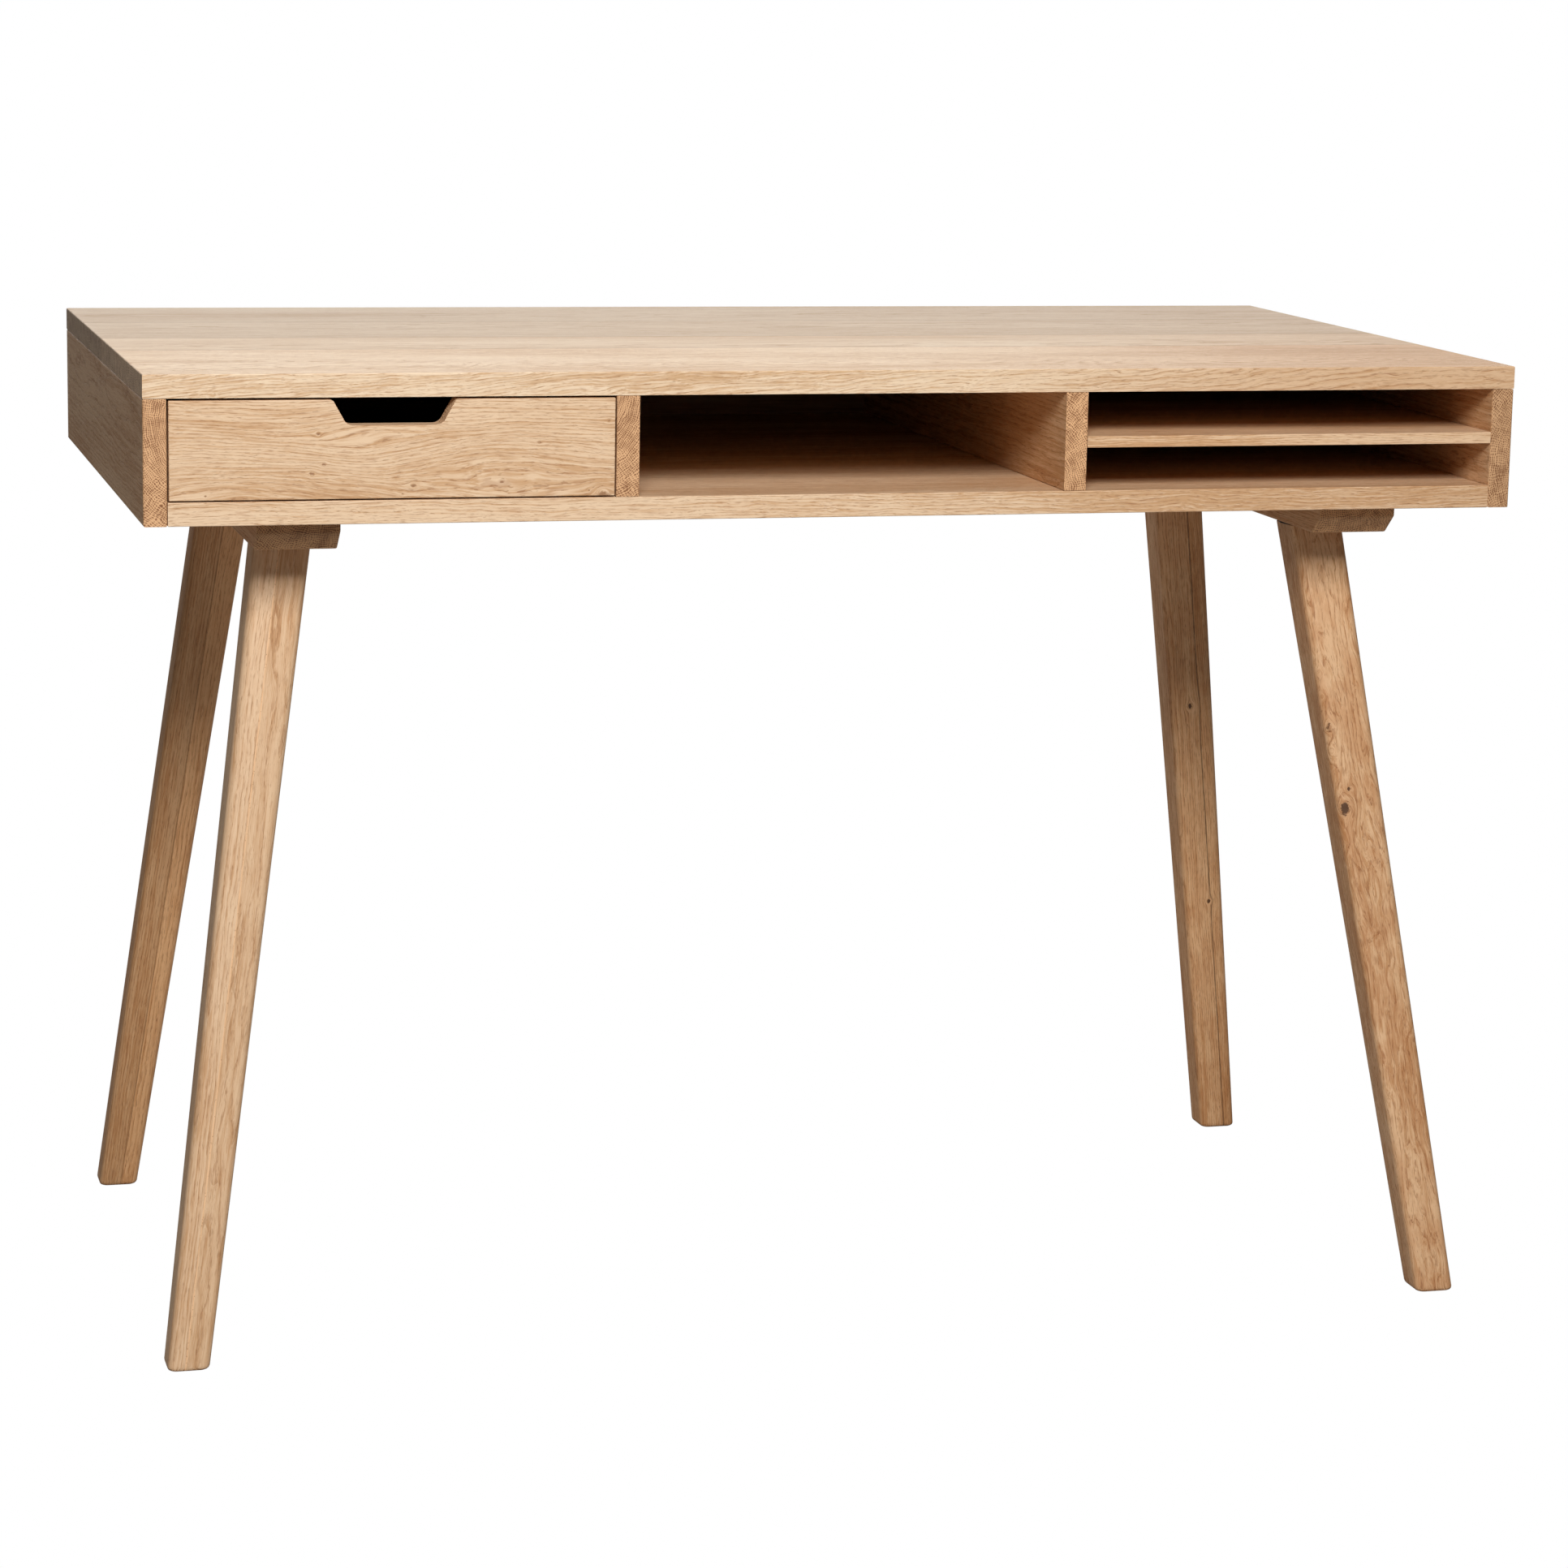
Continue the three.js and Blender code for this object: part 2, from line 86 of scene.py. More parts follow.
class DeskSizes(bpy.types.PropertyGroup):
    """Sizes of the finish that the frame doesn't set."""

    board_ease: FloatProperty(
        name="Board edges",
        description="How far the long edges of the boards are eased",
        default=0.9 * MM, min=0.1 * MM, max=3 * MM, unit="LENGTH", precision=4,
    )
    side_ease: FloatProperty(
        name="Side panel edges",
        description="How far the long edges of the side panels are eased",
        default=1.4 * MM, min=0.1 * MM, max=4 * MM, unit="LENGTH", precision=4,
    )
    cleat_ease: FloatProperty(
        name="Cleat edges",
        description="How far the edges of the cleats are eased",
        default=1.6 * MM, min=0.1 * MM, max=4 * MM, unit="LENGTH", precision=4,
    )
    leg_edge: FloatProperty(
        name="Leg edges",
        description="Radius of the long edges of the legs, at their top",
        default=8.5 * MM, min=1 * MM, max=12 * MM, unit="LENGTH", precision=4,
    )
    foot_round: FloatProperty(
        name="Foot edge",
        description="Radius of the edge round each foot",
        default=3.5 * MM, min=0.5 * MM, max=8 * MM, unit="LENGTH", precision=4,
    )
    leg_rings: IntProperty(
        name="Leg rings",
        description="Rings of points along each leg",
        default=56, min=12, max=200,
    )
    thread_pitch: FloatProperty(
        name="Thread pitch",
        description="Distance between the threads of the wood screws",
        default=1.8 * MM, min=0.5 * MM, max=4 * MM, unit="LENGTH", precision=4,
    )


class DeskColours(bpy.types.PropertyGroup):
    """Colours of the oak and the metal."""

    oak_light: FloatVectorProperty(
        name="Oak, light", description="The palest wood between the pores", subtype="COLOR",
        size=3, min=0, max=1, default=(0.80, 0.58, 0.38),
    )
    oak_dark: FloatVectorProperty(
        name="Oak, dark", description="The darker wood of the growth rings", subtype="COLOR",
        size=3, min=0, max=1, default=(0.60, 0.355, 0.18),
    )
    oak_pore: FloatVectorProperty(
        name="Oak, pores", description="The open pores and the knots", subtype="COLOR",
        size=3, min=0, max=1, default=(0.30, 0.128, 0.048),
    )
    steel: FloatVectorProperty(
        name="Steel", description="Zinc-plated screws and bolts", subtype="COLOR",
        size=3, min=0, max=1, default=(0.62, 0.62, 0.60),
    )


class DeskStudio(bpy.types.PropertyGroup):
    """The camera and the light."""

    camera_place: FloatVectorProperty(
        name="Camera", description="Where the camera stands", subtype="TRANSLATION",
        size=3, unit="LENGTH", default=(-0.8961, -3.4927, 1.0872),
    )
    camera_heading: FloatProperty(
        name="Heading", description="How far the camera is turned to the right of the desk's depth",
        default=math.radians(14.807), unit="ROTATION",
    )
    camera_pitch: FloatProperty(
        name="Pitch", description="How far the camera looks down",
        default=math.radians(10.906), unit="ROTATION",
    )
    camera_roll: FloatProperty(
        name="Roll", description="How far the camera leans",
        default=math.radians(1.089), unit="ROTATION",
    )
    lens: FloatProperty(
        name="Lens", description="Focal length on a 36 mm sensor, in millimetres",
        default=98.465, min=10, max=300,
    )
    key_power: FloatProperty(
        name="Key light", description="Power of the large light in front", default=113.0,
        min=0, max=2000, unit="POWER",
    )
    top_power: FloatProperty(
        name="Top light", description="Power of the soft light overhead", default=24.0,
        min=0, max=1000, unit="POWER",
    )
    back_power: FloatProperty(
        name="Back light", description="Power of the low light behind, which whitens the top",
        default=60.0, min=0, max=1000, unit="POWER",
    )
    ambient: FloatProperty(
        name="Ambient", description="Strength of the light from all round", default=0.07,
        min=0, max=3,
    )


# ------ node trees in plain Python


class Wire:
    """The output of a node. Arithmetic on it adds the nodes that work it out."""

    def __init__(self, tree, socket):
        self.tree = tree
        self.socket = socket
        self.is_vector = socket.type in {"VECTOR", "RGBA"}

    def _join(self, operation, *operands):
        vector = any(isinstance(item, (tuple, Vector)) for item in operands)
        vector = vector or any(isinstance(item, Wire) and item.is_vector for item in operands)
        kind = "ShaderNodeVectorMath" if vector else "ShaderNodeMath"
        return self.tree.node(kind, {"operation": operation}, dict(enumerate(operands)))

    def __add__(self, other):
        return self._join("ADD", self, other)

    def __radd__(self, other):
        return self._join("ADD", other, self)

    def __sub__(self, other):
        return self._join("SUBTRACT", self, other)

    def __rsub__(self, other):
        return self._join("SUBTRACT", other, self)

    def __mul__(self, other):
        return self._join("MULTIPLY", self, other)

    def __rmul__(self, other):
        return self._join("MULTIPLY", other, self)

    def __truediv__(self, other):
        return self._join("DIVIDE", self, other)

    def __rtruediv__(self, other):
        return self._join("DIVIDE", other, self)

    def __pow__(self, other):
        return self._join("POWER", self, other)

    def __neg__(self):
        return self._join("MULTIPLY", self, -1.0)

    def done(self, operation, *others):
        """Any other operation of the Math node, such as FRACT or MAXIMUM."""
        return self._join(operation, self, *others)

    def smooth(self, low, high):
        """0 below low, 1 above high and a smooth step between. It falls where high is below low."""
        falls = high < low
        ends = {"To Min": 1.0, "To Max": 0.0} if falls else {}
        settings = {"interpolation_type": "SMOOTHSTEP"}
        values = {"Value": self, "From Min": min(low, high), "From Max": max(low, high), **ends}
        return self.tree.node("ShaderNodeMapRange", settings, values)

    def parts(self):
        """The three numbers of a vector."""
        split = self.tree.add("ShaderNodeSeparateXYZ", {}, {"Vector": self})
        return [Wire(self.tree, output) for output in split.outputs]


class Tree:
    """Adds nodes to a shader or a Geometry Nodes tree."""

    def __init__(self, node_tree):
        self.nodes = node_tree.nodes
        self.links = node_tree.links

    def add(self, kind, settings, values):
        """A node with its settings made first, and then its sockets fed with values or wires."""
        node = self.nodes.new(kind)
        for name, setting in settings.items():
            setattr(node, name, setting)
        for name, value in values.items():
            socket = self.socket_of(node, name)
            if isinstance(value, Wire):
                self.links.new(value.socket, socket)
            elif isinstance(value, (int, float)) and socket.type == "VECTOR":
                socket.default_value = (value, value, value)
            elif isinstance(value, (tuple, list)) and socket.type == "RGBA" and len(value) == 3:
                socket.default_value = (*value, 1.0)
            else:
                socket.default_value = value
        return node

    @staticmethod
    def socket_of(node, name):
        """A socket by its number, or the first enabled one of that name."""
        if isinstance(name, int):
            return node.inputs[name]
        return next(item for item in node.inputs if item.name == name and item.enabled)

    def node(self, kind, settings=None, values=None, output=0):
        """As add, and returns one of the node's outputs, by its number or its name."""
        made = self.add(kind, settings or {}, values or {})
        if isinstance(output, int):
            enabled = [item for item in made.outputs if item.enabled]
            return Wire(self, enabled[output])
        return Wire(self, made.outputs[output])

    def noise(self, place, detail=2.0, roughness=0.5, output="Fac"):
        values = {"Vector": place, "Scale": 1.0, "Detail": detail, "Roughness": roughness}
        return self.node("ShaderNodeTexNoise", {}, values, output)

    def mix(self, factor, first, second, blend="MIX"):
        settings = {"data_type": "RGBA", "blend_type": blend}
        return self.node("ShaderNodeMix", settings, {"Factor": factor, "A": first, "B": second})


def new_material(name):
    """A material with an empty tree, its Tree, and its Principled shader's node."""
    material = bpy.data.materials.new(name)
    material.use_nodes = True
    material.node_tree.nodes.clear()
    tree = Tree(material.node_tree)
    shader = tree.add("ShaderNodeBsdfPrincipled", {}, {})
    tree.add("ShaderNodeOutputMaterial", {}, {"Surface": Wire(tree, shader.outputs[0])})
    return material, tree, shader


def feed(tree, shader, colour, rough, relief):
    """Gives a shader its colour, its roughness and its relief: strength, depth and height."""
    values = dict(zip(("Strength", "Distance", "Height"), relief))
    bump = tree.node("ShaderNodeBump", {}, values)
    for name, wire in (("Base Color", colour), ("Roughness", rough), ("Normal", bump)):
        tree.links.new(wire.socket, shader.inputs[name])


# ------ solid oak

# How wide each part of the figure is across the grain and how long along it, in millimetres.
DRIFT = (55.0, 210.0)
RIPPLE = (10.0, 36.0)
PORE = (0.42, 6.0)
STROKE = (1.0, 15.0)
FIBRE = (0.6, 30.0)
STREAK = (3.0, 120.0)
CLOUD = (50.0, 340.0)
NET_SWAY = (6.0, 30.0)
PATCH = (9.0, 60.0)
MOTTLE = (15.0, 38.0)
WEAR = (5.0, 14.0)

RING_DRIFT = 11.0  # over how many millimetres the rings grow closer or wider
SPECK = 2.6
SEAM_BREAK = 26.0
NET_RADIUS = 60.0  # where the rays stand as far apart as the fine rings
NET_SWING = 2.2
STRONGEST_PORES = 1.3
CENTRE = (0.5, 0.5, 0.5)
SEED_STEP = 1000.0
STAVE_STEPS = ((0, 37.0), (2, 640.0))  # how far the far stave lies from the near one in its log

# Where a mask begins and ends.
GLUE_LINE = (0.85, 0.35)
# The seam lines are partly glue line and partly painted shade for the groove between the staves.
SEAM_LINE = (1.3 * MM, 0.5 * MM)
END_SLANT = (0.30, 0.60)
# The far end's darkening is painted shade: it stands in for the light falling off towards the
# right-hand end of the desk.
FAR_END_SHADE_REACH = (0.08, 0.52)

# The first colour is multiplied into the far end as painted shade; the second tints the mottled
# patches of the wood.
FAR_END_SHADE_COLOUR = (0.80, 0.64, 0.50)
MOTTLE_COLOUR = (0.70, 0.50, 0.34)

@dataclass(frozen=True)
class Timber:
    """How one board lies in its tree. Lengths are in millimetres, and places in metres."""

    heart: tuple  # a point on the tree's middle line
    grain: tuple = ALONG_X
    ring: float = 3.2
    wander: float = 12.0
    tone: float = 1.0
    warmth: float = 0.0
    ripple: float = 2.8
    contrast: float = 1.0
    end_tone: float = 0.9
    end_contrast: float = 1.0
    knots: tuple = ()  # place and radius of each
    knot_depth: float = 0.85  # how black the knots are in the middle
    swells: tuple = ()  # place and radius of each hump that the grain arches over
    # Painted shade: the far end is darkened and reddened for the light falling off towards it.
    fade: float = 0.0  # how much darker and redder the board's far end is
    mottle: float = 0.0  # strength of the dark, reddish patches
    net: float = 1.55  # pitch of the fine rings and rays on the ends
    joint: tuple = ()  # glue line: its distance from the heart, its tone, the far stave's tone
    seams: tuple = ()  # depths, in metres, at which the board is glued to the next one
    seed: float = 0.0


def scaled(colour, tone, warmth=0.0):
    """A colour made lighter or darker, and redder where warmth is above 0."""
    red, green, blue = colour
    return (red * tone, green * tone * (1 - 0.5 * warmth), blue * tone * (1 - warmth))


def length_of(tree, vector):
    return tree.node("ShaderNodeVectorMath", {"operation": "LENGTH"}, {0: vector}, "Value")


def rise_of(tree, offset, grain, reach):
    """1 in the middle of a hump, and 0 a little beyond its reach. It is longer along the grain."""
    squeeze = tuple(1.0 - 0.6 * abs(part) for part in grain)
    distance = length_of(tree, offset * squeeze) * (1 / MM)
    return (distance * distance * (-1 / reach ** 2)).done("EXPONENT")


def flow_round_knots(tree, place, grain, knots):
    """Closes the grain into small eyes round the knots."""
    across = tuple(1.0 - abs(part) for part in grain)
    for *spot, radius in knots:
        offset = place - tuple(spot)
        rise = rise_of(tree, offset, grain, radius * 2.2)
        away = tree.node("ShaderNodeVectorMath", {"operation": "NORMALIZE"}, {0: offset})
        place = place - away * across * (rise * (radius * 0.9 * MM))
    return place


def flow_over_swells(tree, place, grain, swells):
    """Spreads the grain into arches over broad humps."""
    across = tuple(1.0 - abs(part) for part in grain)
    for *spot, radius in swells:
        offset = place - tuple(spot)
        rise = rise_of(tree, offset, grain, radius)
        place = place - offset * across * (rise * 0.82)
    return place


def knot_mask(tree, place, grain, knots):
    """1 in the middle of each knot."""
    dark = 0.0
    wobble = tree.noise(place * (1 / MM) * 0.45, 2.0, 0.6) * 1.6 + 0.2
    squeeze = tuple(1.0 - 0.45 * abs(part) for part in grain)
    for *spot, radius in knots:
        distance = length_of(tree, (place - tuple(spot)) * squeeze) * (1 / MM) * wobble
        dark = distance.smooth(radius * 0.60, radius * 0.22) + dark
    return dark


def wave(phase):
    """Rises and falls between 0 and 1 once for each whole number of the phase."""
    part = phase.done("FRACT")
    return part.smooth(0.05, 0.45) * part.smooth(0.95, 0.55)


def along_grain(tree, vector, direction):
    """How far a vector goes in a direction."""
    values = {0: vector, 1: direction}
    return tree.node("ShaderNodeVectorMath", {"operation": "DOT_PRODUCT"}, values, "Value")


def into_log(tree, place, timber):
    """A place in the log's own millimetres, with the grain along the third axis."""
    flow = flow_round_knots(tree, place, timber.grain, timber.knots)
    flow = flow_over_swells(tree, flow, timber.grain, timber.swells)
    turn = Vector(ALONG_Z).rotation_difference(Vector(timber.grain)).to_euler()
    values = {"Vector": flow, "Location": timber.heart, "Rotation": tuple(turn), "Scale": MM}
    log = tree.node("ShaderNodeMapping", {"vector_type": "TEXTURE"}, values)
    return log + (0.0, 0.0, timber.seed * SEED_STEP)


class Grown:
    """What grew in one board: its rings, pores, fibre and rays, each as a wire."""

    def __init__(self, tree, place, timber):
        self.tree = tree
        self.log = into_log(tree, place, timber)
        if timber.joint:
            beyond = self.log.parts()[0] - timber.joint[0]
            self.far_stave = beyond.smooth(-0.05, 0.05)
            self.glue_line = beyond.done("ABSOLUTE").smooth(*GLUE_LINE)
            steps = {axis: self.far_stave * step for axis, step in STAVE_STEPS}
            self.log = self.log + tree.node("ShaderNodeCombineXYZ", {}, steps)
        self.grow_rings(timber)
        self.grow_pores()
        self.grow_net(timber)

    def figure(self, place, size, detail, roughness, output="Fac"):
        """Noise with cells of a given size, across the grain and along it."""
        across, along = size
        stretch = (1 / across, 1 / across, 1 / along)
        return self.tree.noise(place * stretch, detail, roughness, output)

    def grow_rings(self, timber):
        """The grain wanders slowly along the board, and ripples a little everywhere."""
        drift = self.figure(self.log, DRIFT, 2.0, 0.45, "Color") - CENTRE
        ripple = self.figure(self.log, RIPPLE, 1.0, 0.5, "Color") - CENTRE
        sway = timber.wander * 2.0
        self.bent = self.log + drift * (sway, sway, 0.0)
        self.bent = self.bent + ripple * (timber.ripple, timber.ripple, 0.0)
        self.across, self.up, _ = self.bent.parts()
        self.radius = (self.across * self.across + self.up * self.up) ** 0.5
        growth = self.tree.noise(self.radius * (1 / RING_DRIFT, 0.0, 0.0), 1.0, 0.5)
        ring = (self.radius / timber.ring + growth * 1.6).done("FRACT")
        self.early = ring.smooth(0.48, 0.0) * ring.smooth(0.0, 0.06)
        self.late = ring.smooth(0.40, 1.0)

    def grow_pores(self):
        """Pores are long tubes: dashes on the faces, and thickest in the early wood."""
        pore_noise = self.figure(self.bent, PORE, 1.0, 0.5)
        self.pores = (pore_noise + self.early * 0.17).smooth(0.64, 0.77)
        stroke_noise = self.figure(self.bent, STROKE, 1.0, 0.5)
        self.strokes = (stroke_noise + self.early * 0.10).smooth(0.57, 0.72)
        self.fibre = self.figure(self.bent, FIBRE, 2.0, 0.62)
        self.streak = self.figure(self.bent, STREAK, 3.0, 0.6)
        self.cloud = self.figure(self.log, CLOUD, 1.0, 0.5)

    def grow_net(self, timber):
        """On the ends, fine rings and rays cross in a net with a dark dot in each mesh."""
        angle = self.across.done("ARCTAN2", self.up)
        sway = self.figure(self.log, NET_SWAY, 1.0, 0.5, "Color").parts()
        self.fine_ring = wave(self.radius / timber.net + sway[0] * NET_SWING)
        self.fine_ray = wave(angle * (NET_RADIUS / timber.net) + sway[1] * NET_SWING)
        self.net_dots = self.fine_ring * self.fine_ray
        self.patchy = self.figure(self.log, PATCH, 2.0, 0.6)

    def face_colour(self, timber, light, dark, pore_colour):
        """The sides of the board: soft bands, with strokes and pores over them."""
        strength = timber.contrast
        shade = self.early * (0.46 * strength) + self.late * (0.26 * strength)
        shade = shade + (self.streak - 0.5) * (1.9 * strength)
        shade = shade + (self.cloud - 0.5) * (1.6 * strength)
        shade = shade + (self.fibre - 0.5) * (2.1 * strength) + (0.38 - 0.16 * strength)
        pore_strength = min(strength, STRONGEST_PORES)
        face = self.tree.mix(shade.smooth(0.0, 1.0), light, dark)
        face = self.tree.mix(self.strokes * (0.34 * pore_strength), face, scaled(pore_colour, 1.25))
        return self.tree.mix(self.pores * (0.50 * pore_strength), face, pore_colour)

    def end_colour(self, timber, light, pore_colour):
        """The sawn ends, which show rings, dots and spokes much more strongly."""
        shade = self.fine_ring * 0.42 + self.fine_ray * 0.20 + self.net_dots * 0.75
        shade = shade + self.early * 0.34 + self.late * 0.10 + (self.patchy - 0.5) * 1.9 - 0.06
        figured = shade.smooth(0.0, 1.30) * timber.end_contrast
        pale = scaled(light, timber.end_tone * 1.12, 0.16)
        deep = scaled(pore_colour, timber.end_tone)
        return self.tree.mix(figured + 0.34 * (1 - timber.end_contrast), pale, deep)

    def glued(self, colour, timber, light, dark, pore_colour):
        """The far stave in its own tone, and the glue line, worn and specked in places."""
        _, line_tone, stave_tone = timber.joint
        worn = self.figure(self.log, WEAR, 2.0, 0.6).smooth(0.40, 0.60)
        stave = (stave_tone, stave_tone * 0.985, stave_tone * 0.96)
        colour = self.tree.mix(self.far_stave, colour, stave, "MULTIPLY")
        line = scaled(light, line_tone, 0.22) if line_tone > 1 else scaled(dark, line_tone)
        colour = self.tree.mix(self.glue_line * (worn * 0.45 + 0.50), colour, line)
        specks = self.tree.noise(self.log * (0.0, 0.0, 1 / SPECK), 1.0, 0.5).smooth(0.60, 0.70)
        return self.tree.mix(self.glue_line * specks * 0.65, colour, pore_colour)

    def seamed(self, colour, place, timber, pore_colour):
        """The dark, broken lines where the board is glued to its neighbours: partly the glue line,
        and partly painted shade for the groove between the boards.
        """
        depth = place.parts()[1]
        stretch = (0.0, 0.0, 1 / SEAM_BREAK)
        broken = self.tree.noise(self.log * stretch, 3.0, 0.65).smooth(0.30, 0.58)
        for seam in timber.seams:
            line = (depth - seam).done("ABSOLUTE").smooth(*SEAM_LINE)
            colour = self.tree.mix(line * (broken * 0.55 + 0.12), colour, pore_colour)
        return colour


def oak(name, timber, colours):
    """Oak that is grown through: growth rings, pores and rays in the board's own solid."""
    material, tree, shader = new_material(name)
    place = tree.node("ShaderNodeTexCoord", output="Object")
    wood = Grown(tree, place, timber)
    normal = tree.node("ShaderNodeTexCoord", output="Normal")
    end = along_grain(tree, normal, timber.grain).done("ABSOLUTE").smooth(*END_SLANT)

    light = scaled(colours.oak_light, timber.tone, timber.warmth)
    dark = scaled(colours.oak_dark, timber.tone, timber.warmth)
    pore_colour = scaled(colours.oak_pore, timber.tone, timber.warmth * 0.5)
    face = wood.face_colour(timber, light, dark, pore_colour)
    colour = tree.mix(end, face, wood.end_colour(timber, light, pore_colour))
    if timber.mottle:
        patches = wood.figure(wood.bent, MOTTLE, 3.0, 0.66).smooth(0.36, 0.62)
        colour = tree.mix(patches * timber.mottle, colour, MOTTLE_COLOUR, "MULTIPLY")
    if timber.knots:
        dark_knots = knot_mask(tree, place, timber.grain, timber.knots)
        colour = tree.mix(dark_knots * 0.75, colour, pore_colour)
        core = dark_knots.smooth(0.45, 1.0) * timber.knot_depth
        colour = tree.mix(core, colour, scaled(pore_colour, 0.22))
    if timber.joint:
        colour = wood.glued(colour, timber, light, dark, pore_colour)
    if timber.seams:
        colour = wood.seamed(colour, place, timber, pore_colour)
    # Painted shade: the board is darkened and reddened towards its far end, for the light falling
    # off there.
    if timber.fade:
        far = along_grain(tree, place, timber.grain).smooth(*FAR_END_SHADE_REACH)
        colour = tree.mix(far * timber.fade, colour, FAR_END_SHADE_COLOUR, "MULTIPLY")

    rough = 0.58 + wood.pores * 0.15 + (wood.fibre - 0.5) * 0.16
    shader.inputs["Specular IOR Level"].default_value = 0.42
    height = wood.fibre * 0.5 - wood.pores * 0.8 - wood.early * 0.25
    height = height - wood.net_dots * end * 0.6
    feed(tree, shader, colour, rough, (0.5, 0.25 * MM, height))
    return material


def plywood(name, grain, tone, colours):
    """Thin sheet: a plain veneer face and banded edges."""
    material, tree, shader = new_material(name)
    place = tree.node("ShaderNodeTexCoord", output="Object") * (1 / MM)
    stretch = tuple(1 / 240.0 if part > 0.5 else 1 / 5.0 for part in grain)
    fine_stretch = tuple(1 / 30.0 if part > 0.5 else 1 / 0.6 for part in grain)
    figure = tree.noise(place * stretch, 3.0, 0.55)
    fibre = tree.noise(place * fine_stretch, 2.0, 0.6)
    shade = (figure - 0.5) * 1.3 + (fibre - 0.5) * 0.8 + 0.5
    light = scaled(colours.oak_light, tone * 0.86)
    dark = scaled(colours.oak_dark, tone * 0.80)
    colour = tree.mix(shade.smooth(0.0, 1.0), light, dark)
    pores = fibre.smooth(0.62, 0.74)
    colour = tree.mix(pores * 0.4, colour, scaled(colours.oak_pore, tone))
    rough = 0.66 + (fibre - 0.5) * 0.2
    feed(tree, shader, colour, rough, (0.3, 0.2 * MM, fibre))
    return material


def metal(name, colour, roughness):
    """Plated or painted steel, a little uneven."""
    material, tree, shader = new_material(name)
    place = tree.node("ShaderNodeTexCoord", output="Object") * (1 / MM)
    cloud = tree.noise(place * 0.35, 3.0, 0.6)
    speck = tree.noise(place * 2.4, 2.0, 0.6)
    tone = cloud * 0.5 + speck * 0.3
    mixed = tree.mix(tone.smooth(0.2, 0.65), scaled(colour, 0.72), colour)
    rough = (cloud - 0.5) * 0.3 + roughness
    shader.inputs["Metallic"].default_value = 1.0
    feed(tree, shader, mixed, rough, (0.15, 0.1 * MM, speck))
    return material


# ------ pieces


def place_piece(name, mesh, material, body, nodes):
    """Puts a mesh that stands for CAD nodes into the scene, on its body."""
    piece = bpy.data.objects.new(name, mesh)
    mesh.materials.clear()
    mesh.materials.append(material)
    bpy.context.scene.collection.objects.link(piece)
    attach(piece, body)
    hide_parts(*nodes)
    return piece


def lies_in(edge, planes):
    """Whether an edge lies in one of the planes, each given by its axis and its place on it."""
    return any(
        all(abs(vertex.co[axis] - level) < TIDY_MERGE for vertex in edge.verts)
        for axis, level in planes
    )


def eased_mesh(node, ease, shortest, flush):
    """A node's mesh with its edges eased, apart from the shortest and those in flush planes."""
    shape = bmesh.new()
    shape.from_mesh(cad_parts[node].data)
    bmesh.ops.remove_doubles(shape, verts=shape.verts, dist=TIDY_MERGE)
    bmesh.ops.dissolve_limit(
        shape, angle_limit=FLAT_ANGLE, verts=shape.verts, edges=shape.edges,
    )
    edges = [
        edge for edge in shape.edges
        if len(edge.link_faces) == 2 and edge.is_convex
        and edge.calc_face_angle() > CORNER_ANGLE and edge.calc_length() > shortest
        and not lies_in(edge, flush)
    ]
    bmesh.ops.bevel(
        shape, geom=edges, offset=ease, offset_type="OFFSET", segments=EASE_SEGMENTS,
        profile=0.5, affect="EDGES", clamp_overlap=False,
    )
    bmesh.ops.recalc_face_normals(shape, faces=shape.faces)
    mesh = bpy.data.meshes.new(node)
    shape.to_mesh(mesh)
    shape.free()
    return mesh


def eased_piece(node, material, body, slot, ease, shortest=20 * MM, flush=()):
    """The finished piece for one CAD node: the same shape with eased edges."""
    mesh = eased_mesh(node, ease, shortest, flush)
    return place_piece(f"{node}_finished", mesh, material, body, [node])


def oak_piece(node, timber, colours, ease, body="desk", slot="oak_case", **edges):
    """The finished piece for one CAD node, in oak of its own."""
    eased_piece(node, oak(f"oak_{node}", timber, colours), body, slot, ease, **edges)


def middle(node):
    low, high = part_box(node)
    return [(a + b) / 2 for a, b in zip(low, high)]


def settings_of(context):
    """The desk's sizes and its colours."""
    return context.scene.desk_sizes, context.scene.desk_colours


def heart_off(node, offset):
    """A point in the tree's heart, offset in millimetres from the node's middle."""
    return tuple(value + part * MM for value, part in zip(middle(node), offset))


# ------ case

# For each board, the heart's offset from its middle, and what sets it apart.
TOP_WOOD = dict(wander=9.0, warmth=-0.12, contrast=0.6, end_tone=0.82, end_contrast=0.8)
SLOPING = tuple(Vector((1.0, 0.0, 0.07)).normalized())
# Each stave's darkening towards its far end is painted shade, for the light falling off across the
# desk.
TOP_STAVES = {
    "top_stave_front": ((0, -40, -62), dict(
        tone=1.09, seed=1.0, ring=2.0, fade=0.75, ripple=5.0, contrast=0.95, grain=SLOPING,
    )),
    "top_stave_second": ((0, -30, 95), dict(tone=0.98, seed=2.3, ring=2.6, fade=0.3)),
    "top_stave_third": ((0, 25, -70), dict(tone=0.85, seed=3.1, ring=3.0, fade=0.2)),
    "top_stave_rear": ((0, -10, 80), dict(tone=0.83, seed=4.7, ring=2.7, fade=0.2)),
}
# The uprights' warmth is painted shade: it reddens these shaded boards to stand in for the warm
# light bounced onto them.
UPRIGHT_WOOD = dict(grain=ALONG_Y, ring=2.8, wander=4.0, warmth=0.26)
UPRIGHTS = {
    "side_panel_left": ((52, 0, 30), dict(tone=0.94, end_tone=0.90, seed=5.2)),
    "divider_left": ((-48, 0, 44), dict(tone=0.90, end_tone=0.94, seed=6.4)),
    "divider_right": ((-56, 0, -40), dict(tone=0.95, end_tone=0.94, seed=7.9)),
    "side_panel_right": ((64, 0, -18), dict(tone=0.92, end_tone=0.80, seed=8.8)),
}


